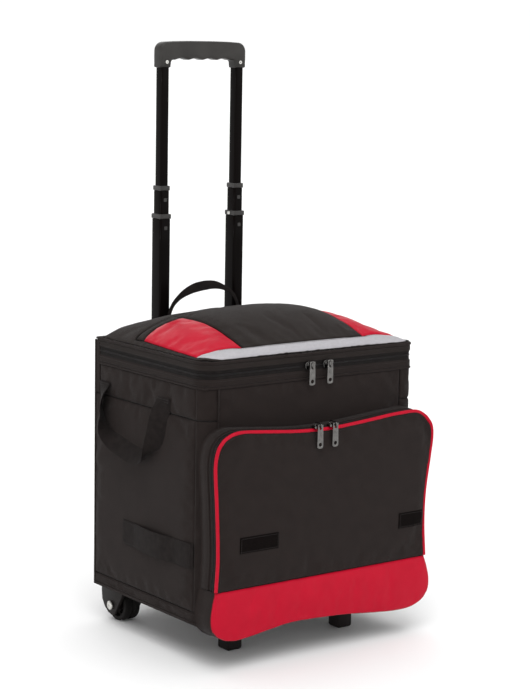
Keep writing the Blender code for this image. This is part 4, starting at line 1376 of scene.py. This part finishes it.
def makeTubes():
    for label, sign in sides:
        for stage, body in stageBodies.items():
            node = f"{label}_{stage}_tube"
            low, high = corner(node, 0), corner(node, 1)
            x, y = (low.x + high.x) / 2, (low.y + high.y) / 2
            radius, thick = towStyle["rounds"][stage], towStyle["tubeWall"]
            outer = np.array(roundedBox(high.x - low.x, high.y - low.y, radius, 6))
            inner = np.array(roundedBox(high.x - low.x - 2 * thick, high.y - low.y - 2 * thick,
                                        radius - thick, 6))
            rings = []
            for section, z, share in ((outer, low.z, 0.985), (outer, low.z + 0.4, 1), (outer, low.z + 40, 1),
                                      (outer, high.z - 40, 1), (outer, high.z - 0.4, 1),
                                      (outer, high.z, 0.985), (inner, high.z, 1), (inner, low.z, 1)):
                rings.append(level(section * share + (x, y), z))
            tube = meshPiece(f"{label}{stage.capitalize()}Tube", np.array(rings), gridFaces(8, len(outer),
                    True, True), enamel)
            fixNormals(tube, 40)
            settle(tube, body, "black_enamel", node)
        for stage in ("lower", "middle"):
            node = f"{label}_{stage}_collar"
            collar = refined(f"{label}{stage.capitalize()}Collar", node, collarPlastic, 0.5, 3)
            settle(collar, stageBodies[stage], "black_plastic", node)
            low, high = corner(f"{label}_{stage}_tube", 0), corner(f"{label}_{stage}_tube", 1)
            square = roundedBox(towStyle["lug"], towStyle["lug"], 1.0, 4).tolist()
            lug = flatPlate(f"{label}{stage.capitalize()}Lug", [square], 1.6, 0.3, collarPlastic,
                            facingFront((low.x + high.x) / 2, low.y + 0.35, high.z - towStyle["lugDrop"]))
            settle(lug, stageBodies[stage], "black_plastic")
        button = refined(f"{label}LockButton", f"{label}_lock_button", zinc, 0.5, 3)
        settle(button, f"{label}_lock_button", "bright_steel", f"{label}_lock_button")
        low, high = corner(f"{label}_outer_tube", 0), corner(f"{label}_outer_tube", 1)
        outer = roundedBox(high.x - low.x + 8, high.y - low.y + 7, 5, 6).tolist()
        inner = roundedBox(high.x - low.x + 0.4, high.y - low.y + 0.4, 3.4, 6).tolist()
        place = lyingFlat((low.x + high.x) / 2, (low.y + high.y) / 2, bag["stripLow"] + 5)
        bezel = flatPlate(f"{label}TubeBezel", [outer, inner], 3.6, 1.2, housingPlastic, place)
        settle(bezel, "bag", "black_plastic")


gripStyle = {
    "edge": 4.6,
    "roof": 11,  # underside of the bar above the legs' feet
    "leg": 56.2,
    "bar": 49,
    "hollowPitch": 24.5,
    "hollowDepth": 2.4,
    "screwIn": 10.6,
    "screwUp": 8.0,
}


def makeGrip():
    low, high = corner("grip", 0), corner("grip", 1)
    half = high.x
    y, deep = (low.y + high.y) / 2, high.y - low.y
    roof, leg = low.z + gripStyle["roof"], gripStyle["leg"]
    right = [(leg + 0.6, low.z), (half - 0.8, low.z), (half, low.z + 1.5), (half, high.z - 15)]
    right += [(half - 13 + 13 * math.cos(math.radians(a)), high.z - 14.5 + 13 * math.sin(math.radians(a)))
              for a in range(10, 90, 10)]
    right += [(45, high.z - 0.6), (20, high.z - 0.1)]
    under = [(leg, low.z + 1.0), (leg - 0.6, roof - 5)]
    under += [(leg - 4.6 + 4 * math.cos(math.radians(a)), roof - 4 + 4 * math.sin(math.radians(a)))
              for a in (20, 45, 70, 90)]
    bar = []
    for x in np.linspace(-gripStyle["bar"], gripStyle["bar"], 49):
        hollow = abs(math.sin(math.pi * x / gripStyle["hollowPitch"])) ** 1.4
        bar.append((x, roof + gripStyle["hollowDepth"] * hollow))
    outline = mirrored(right) + mirror(under, -1) + bar + under[::-1]
    grip = flatPlate("moulded_grip", [resampled(outline + outline[:1], 1.5)[:-1].tolist()], deep,
                     gripStyle["edge"], gripPlastic, facingFront(0, y, 0))
    settle(grip, "upper_stage", "black_plastic", "grip")
    for label, sign in sides:
        x, z = sign * (half - gripStyle["screwIn"]), low.z + gripStyle["screwUp"]
        ring = flatPlate(f"{label}ScrewSeat", [circle(4.2, 28).tolist(), circle(2.7, 28).tolist()], 1.4, 0.4,
                         gripPlastic, facingFront(x, low.y + 0.1, z))
        settle(ring, "upper_stage", "black_plastic")
        star = circle(1.05, 8)
        star[1::2] *= 0.55
        screw = flatPlate(f"{label}GripScrew", [circle(2.6, 24).tolist(), rounded(star, 0.168,
                True).tolist()], 1.6, 0.3, zinc, facingFront(x, low.y + 0.3, z))
        settle(screw, "upper_stage", "bright_steel")


makeTubes()
makeGrip()
print("tow handle made")


# a turned piece round the X axis. The profile gives radius and place along the axis
def turned(name, profile, centre, look, steps=56):
    line = np.asarray(profile, float)
    grid = []
    for k in range(steps):
        t = 2 * math.pi * k / steps
        grid.append([(centre[0] + along, centre[1] + r * math.cos(t), centre[2] + r * math.sin(t)) for r,
                     along in line])
    piece = meshPiece(name, np.array(grid), gridFaces(steps, len(line), True, True), look,
                      np.zeros((steps * len(line), 2)))
    fixNormals(piece, 35)
    return piece


def makeRunningGear():
    for label, sign in sides:
        low, high = corner(f"{label}_wheel", 0), corner(f"{label}_wheel", 1)
        centre = (low + high) / 2
        radius, half = (high.z - low.z) / 2, (high.x - low.x) / 2
        cheek = [(radius - 6.6, 2.5 - half), (radius - 6, 0.4 - half), (radius - 2.2, -half),
                 (radius - 0.7, 0.8 - half), (radius, 2.4 - half), (radius, -2.2), (radius - 0.4, -1.5),
                 (radius - 1.6, -1.1)]
        tyre = cheek + [(r, -along) for r, along in reversed(cheek)]
        settle(turned(f"{label}Tyre", tyre, centre, rubber), f"{label}_wheel", "tread_rubber",
               f"{label}_wheel")
        hub = [(3.5, 0.6 - half), (7.4, 0.6 - half), (8.2, 1.4 - half), (8.2, half - 1.4), (7.4, half - 0.6),
               (3.5, half - 0.6)]
        settle(turned(f"{label}Hub", hub, centre, housingPlastic), f"{label}_wheel", "black_plastic")
        holes = []
        for k in range(5):
            t = 2 * math.pi * (k + 0.5) / 5
            arcIn = [(9.2 * math.cos(t + a), 9.2 * math.sin(t + a)) for a in (-0.38, -0.13, 0.13, 0.38)]
            arcOut = [(15.4 * math.cos(t + a), 15.4 * math.sin(t + a)) for a in (0.46, 0.24, 0, -0.24, -0.46)]
            holes.append(arcIn + arcOut)
        disc = flatPlate(f"{label}WheelDisc", [circle(radius - 6.2, 48).tolist(),
                                               circle(7.8, 28).tolist()] + holes, 11, 0.7, housingPlastic,
                         facingSide(*centre))
        settle(disc, f"{label}_wheel", "black_plastic")
        housing = refined(f"{label}WheelHousing", f"{label}_wheel_housing", housingPlastic, 1.1, 3, 40)
        settle(housing, "bag", "black_plastic", f"{label}_wheel_housing")
        axle = refined(f"{label}AxleBolt", f"{label}_axle", zinc, 0.5, 2, 50)
        settle(axle, "bag", "bright_steel", f"{label}_axle")
        face = corner(f"{label}_axle", 1 if sign > 0 else 0).x
        slotted = flatPlate(f"{label}BoltHead", [circle(5.6, 30).tolist(), [(-3.6, -0.6), (-3.6, 0.6),
                (3.6, 0.6), (3.6, -0.6)]], 1.4, 0.4, zinc, facingSide(face, centre.y, centre.z))
        settle(slotted, "bag", "bright_steel")
        foot = refined(f"{label}Foot", f"{label}_foot", footPlastic, 1.2, 3, 20)
        settle(foot, "bag", "black_plastic", f"{label}_foot")
        low, high = corner(f"{label}_foot", 0), corner(f"{label}_foot", 1)
        plate = flatPlate(f"{label}FootPlate", [roundedBox(high.x - low.x + 12, high.y - low.y + 12, 5,
                                                           5).tolist()], 3.4, 1.2, footPlastic,
                          lyingFlat((low.x + high.x) / 2, (low.y + high.y) / 2, high.z - 1.9))
        settle(plate, "bag", "black_plastic")


makeRunningGear()
print("running gear made")


# lays a piece's weave flat along two of its axes
def planarUv(piece, a, b):
    mesh = piece.data
    layer = mesh.uv_layers.get("flat") or mesh.uv_layers.new(name="flat")
    co = np.zeros(len(mesh.vertices) * 3)
    mesh.vertices.foreach_get("co", co)
    loops = np.zeros(len(mesh.loops), int)
    mesh.loops.foreach_get("vertex_index", loops)
    layer.data.foreach_set("uv", co.reshape(-1, 3)[:, [a, b]][loops].ravel())
    return piece


def makeRear():
    low, high = bag["floor"] + 0.3, bag["stripLow"] - 0.5
    rear, sleeve, x0 = bag["rear"], bag["sleeveRear"], bag["halfWide"]

    def along(points, smooth=False):
        line = lineAt(points, smooth)

        def at(u, v):
            flat = line(u)
            return np.concatenate([flat, (low + (high - low) * v)[..., None]], -1)
        return at

    for label, sign in sides:
        ends = sorted((sign * (x0 - 0.5), sign * 97.0))
        piece = sewnPanel(f"{label}RearPanel", along([(ends[0], rear), (ends[1], rear)]), (83, high - low),
                          fabric, True, slack=0.012, pressure=0.8, cap=2.2, seed=51 + sign)
        settle(piece, "bag", "black_fabric")
    step = [(-96.3, rear + 0.2), (-93.5, rear + 2.5), (-89, rear + 14), (-86.5, sleeve - 4), (-82, sleeve),
            (-60, sleeve + 0.4)]
    plan = step + [(0, sleeve + 0.5)] + mirror(step[::-1], -1)
    piece = sewnPanel("rearSleevePanel", along(plan, True), (226, high - low), fabric, True, slack=0.01,
                      pressure=0.9, cap=2.0, seed=57)
    settle(piece, "bag", "black_fabric", "rear_cover", "rear_panel")
    for label, sign in sides:
        path = [(sign * 96.8, rear + 0.6, z) for z in np.linspace(low + 1, high - 1, 90)]
        piping = sweep(f"{label}SleevePiping", path, (1, 0, 0), (0, 1, 0), circle(1.6, 8), fabric)
        settle(piping, "bag", "black_fabric")
        path = [(sign * 100.5, rear + 0.5, z) for z in np.linspace(low + 2, high - 2, 90)]
        settle(stitchRow(f"{label}SleeveStitches", path, (0, 1, 0)), "bag", "black_fabric")
        line = [(sign * (x0 - 0.4), rear - 0.4, z) for z in np.linspace(low, high, 90)]
        piping = sweep(f"{label}RearPiping", line, (1, 0, 0), (0, 1, 0), circle(1.7, 8), fabric)
        settle(piping, "bag", "black_fabric")
    # fixed strip behind the lid, with a hole for each tube
    front = bag["back"] + 0.7
    edge = mirrored([(x0 - 0.6, front), (x0 - 0.4, rear - 0.6), (97, rear + 0.2), (94, rear + 2.5),
                     (89.5, rear + 14), (86.5, sleeve - 3), (82, sleeve + 0.2)])
    holes = []
    for label, sign in sides:
        a, b = corner(f"{label}_outer_tube", 0), corner(f"{label}_outer_tube", 1)
        hole = roundedBox(b.x - a.x + 1.2, b.y - a.y + 1.2, 3.4, 5) + ((a.x + b.x) / 2, (a.y + b.y) / 2)
        holes.append(hole.tolist())
    strip = flatPlate("rearTopStrip", [resampled(edge + edge[:1], 3)[:-1].tolist()] + holes, 3.6, 1.3,
                      litLidFabric, lyingFlat(0, 0, bag["stripLow"] + 1.7))
    settle(planarUv(strip, 0, 1), "bag", "black_fabric", "rear_strip")
    bottom = refined("bottomPanel", "bottom_panel", fabric, 1.2, 3)
    settle(planarUv(bottom, 0, 1), "bag", "black_fabric", "bottom_panel")
    piping = rimSweep("hemPiping", circle(1.7, 8), fabric, z=bag["floor"] + 0.3, rear=rear - 1)
    settle(piping, "bag", "black_fabric")


makeRear()


# closed plan with rounded front corners and square rear ones
def foamPlan(inset, rear, radius):
    plan, _ = rimLine(inset=inset, radius=radius + inset, rear=rear, spacing=3)
    return plan


# joins rings of the same length in order and closes both ends
def capped(name, rings, look):
    grid = np.array(rings, float)
    rows, columns = grid.shape[:2]
    faces = gridFaces(rows, columns, False, True)
    faces += [tuple(range(columns))[::-1], tuple((rows - 1) * columns + j for j in range(columns))]
    piece = meshPiece(name, grid, faces, look)
    fixNormals(piece, 40)
    return piece


def makeFoamBox():
    low, high = corner("foam_box", 0), corner("foam_box", 1)
    inset, wall = bag["halfWide"] - high.x, 8.0
    outer = foamPlan(inset, high.y, 22)
    inner = resampled(foamPlan(inset + wall, high.y - wall, 14), count=len(outer))
    rings = []
    for plan, z in ((outer * 0.99, low.z), (outer, low.z + 1), (outer, high.z - 1), (outer * 0.997, high.z),
                    (inner * 1.003, high.z), (inner, high.z - 1), (inner, low.z + wall)):
        rings.append(level(plan, z))
    settle(capped("coolerFoam", rings, foamWhite), "bag", "white_foam", "foam_box")


def makeFoamSlab():
    low, high = corner("lid_foam", 0), corner("lid_foam", 1)
    plan = resampled(foamPlan(bag["halfWide"] - high.x + 1, high.y, 22), 6)
    middle = np.array([0, (low.y + high.y) / 2])
    rings = [level(plan, low.z)]
    for share in (1.0, 0.97, 0.9, 0.78, 0.62, 0.44, 0.26, 0.1):
        flat = middle + (plan - middle) * share
        rings.append(onDome(flat) - (0, 0, 6.5))
    settle(capped("lidFoamSlab", rings, foamWhite), "lid", "white_foam", "lid_foam")


def makeInside():
    inner = refined("coolerLiner", "inner_liner", linerFilm, 1.4, 3)
    settle(inner, "bag", "white_liner", "inner_liner")
    low, high = corner("lid_liner", 0), corner("lid_liner", 1)
    z, back = low.z + 0.6, bag["back"] - 3
    inset = bag["halfWide"] - min(high.x + 1.5, bag["halfWide"] - 5)
    plan, _ = rimLine(inset=inset, rear=back, spacing=2)
    x, y0, y1 = bag["halfWide"] - inset, bag["front"] + inset, back
    half = plan[: len(plan) // 2 + 1]

    def under(u, v):
        y = y0 + (y1 - y0) * v
        reach = np.interp(-y, -half[:, 1], -half[:, 0])
        return np.stack([reach * (2 * u - 1), y, np.full_like(u, z)], -1)

    piece = sewnPanel("lidLining", under, (2 * x, y1 - y0), linerFilm, True, slack=0.012, pressure=0.5,
                      cap=1.6, tuck=1.0, seed=61, simCell=9, cell=5)
    settle(piece, "lid", "white_liner", "lid_liner")
    # fabric binding over the foam's top edge
    front, rear, wide = bag["front"] + 3.2, bag["back"] - 0.4, bag["halfWide"] - 3.2
    loop = [(-wide, rear), (-wide, front), (wide, front), (wide, rear)]
    line = resampled(loop + loop[:1], 3)[:-1]
    t = tangentsOf(line, True)
    out = np.column_stack([t[:, 1], -t[:, 0], np.zeros(len(t))])
    section = [(-13.4, -8), (-13.2, -0.6), (-12.2, 0.6), (-10, 0.9), (-1.6, 0.9), (-0.6, 0.3), (-0.4, -1.2),
               (-2, -1.6), (-11.2, -1.6), (-11.6, -8)]
    binding = sweep("rimBinding", level(line, bag["rim"]), out, (0, 0, 1), section, fabric, closedPath=True)
    settle(binding, "bag", "black_fabric")
    makeFoamBox()
    makeFoamSlab()
    for node in ("base_board", "handle_bracket"):
        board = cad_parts[node].data
        board.materials.clear()
        board.materials.append(housingPlastic)


makeInside()
print("rear and inside made")


studioStyle = {"horizon": 1.02, "zenith": 0.45, "floorColor": 0.9}
studioLamps = {  # where each sun shines from, its strength and how wide it looks from the bag, in degrees
    "keySun": ((-1.2, -1.7, 3.0), 1.4, 38),
    "topSun": ((0.4, 0.6, 3.0), 1.2, 60),
    "frontSun": ((1.4, -2.6, 0.9), 0.5, 50),
    "leftSun": ((-3.0, -0.6, 0.25), 0.32, 6),
    "rearSun": ((1.0, 3.0, 1.2), 0.45, 40),
}


def makeStudio():
    ground = bpy.data.meshes.new("floor")
    shape = bmesh.new()
    bmesh.ops.create_grid(shape, x_segments=2, y_segments=2, size=40)
    shape.to_mesh(ground)
    shape.free()
    floor = placed("floor", ground)
    look = Nodes("paleFloor", (studioStyle["floorColor"],) * 3, 0.9, gloss=0.1)
    look.tint(look.noise(3, 2), 0.995, 1.0)
    ground.materials.append(look.made)
    world = bpy.data.worlds.new("studio")
    world.use_nodes = True
    nodes = world.node_tree.nodes
    links = world.node_tree.links
    split = nodes.new("ShaderNodeSeparateXYZ")
    height = nodes.new("ShaderNodeMapRange")
    height.inputs["From Min"].default_value = 0.08
    height.inputs["From Max"].default_value = 0.45
    height.inputs["To Min"].default_value = studioStyle["horizon"]
    height.inputs["To Max"].default_value = studioStyle["zenith"]
    links.new(nodes.new("ShaderNodeTexCoord").outputs["Generated"], split.inputs[0])
    links.new(split.outputs["Z"], height.inputs[0])
    links.new(height.outputs[0], nodes["Background"].inputs["Strength"])
    nodes["Background"].inputs["Color"].default_value = (1, 1, 1, 1)
    bpy.context.scene.world = world
    for name, (place, strength, width) in studioLamps.items():
        lamp = bpy.data.lights.new(name, "SUN")
        lamp.energy = strength
        lamp.angle = math.radians(width)
        holder = placed(name, lamp)
        holder.location = place
        holder.rotation_euler = (-Vector(place)).to_track_quat("-Z", "Y").to_euler()
    bpy.context.scene.view_settings.view_transform = "Standard"


makeStudio()
print("studio set")
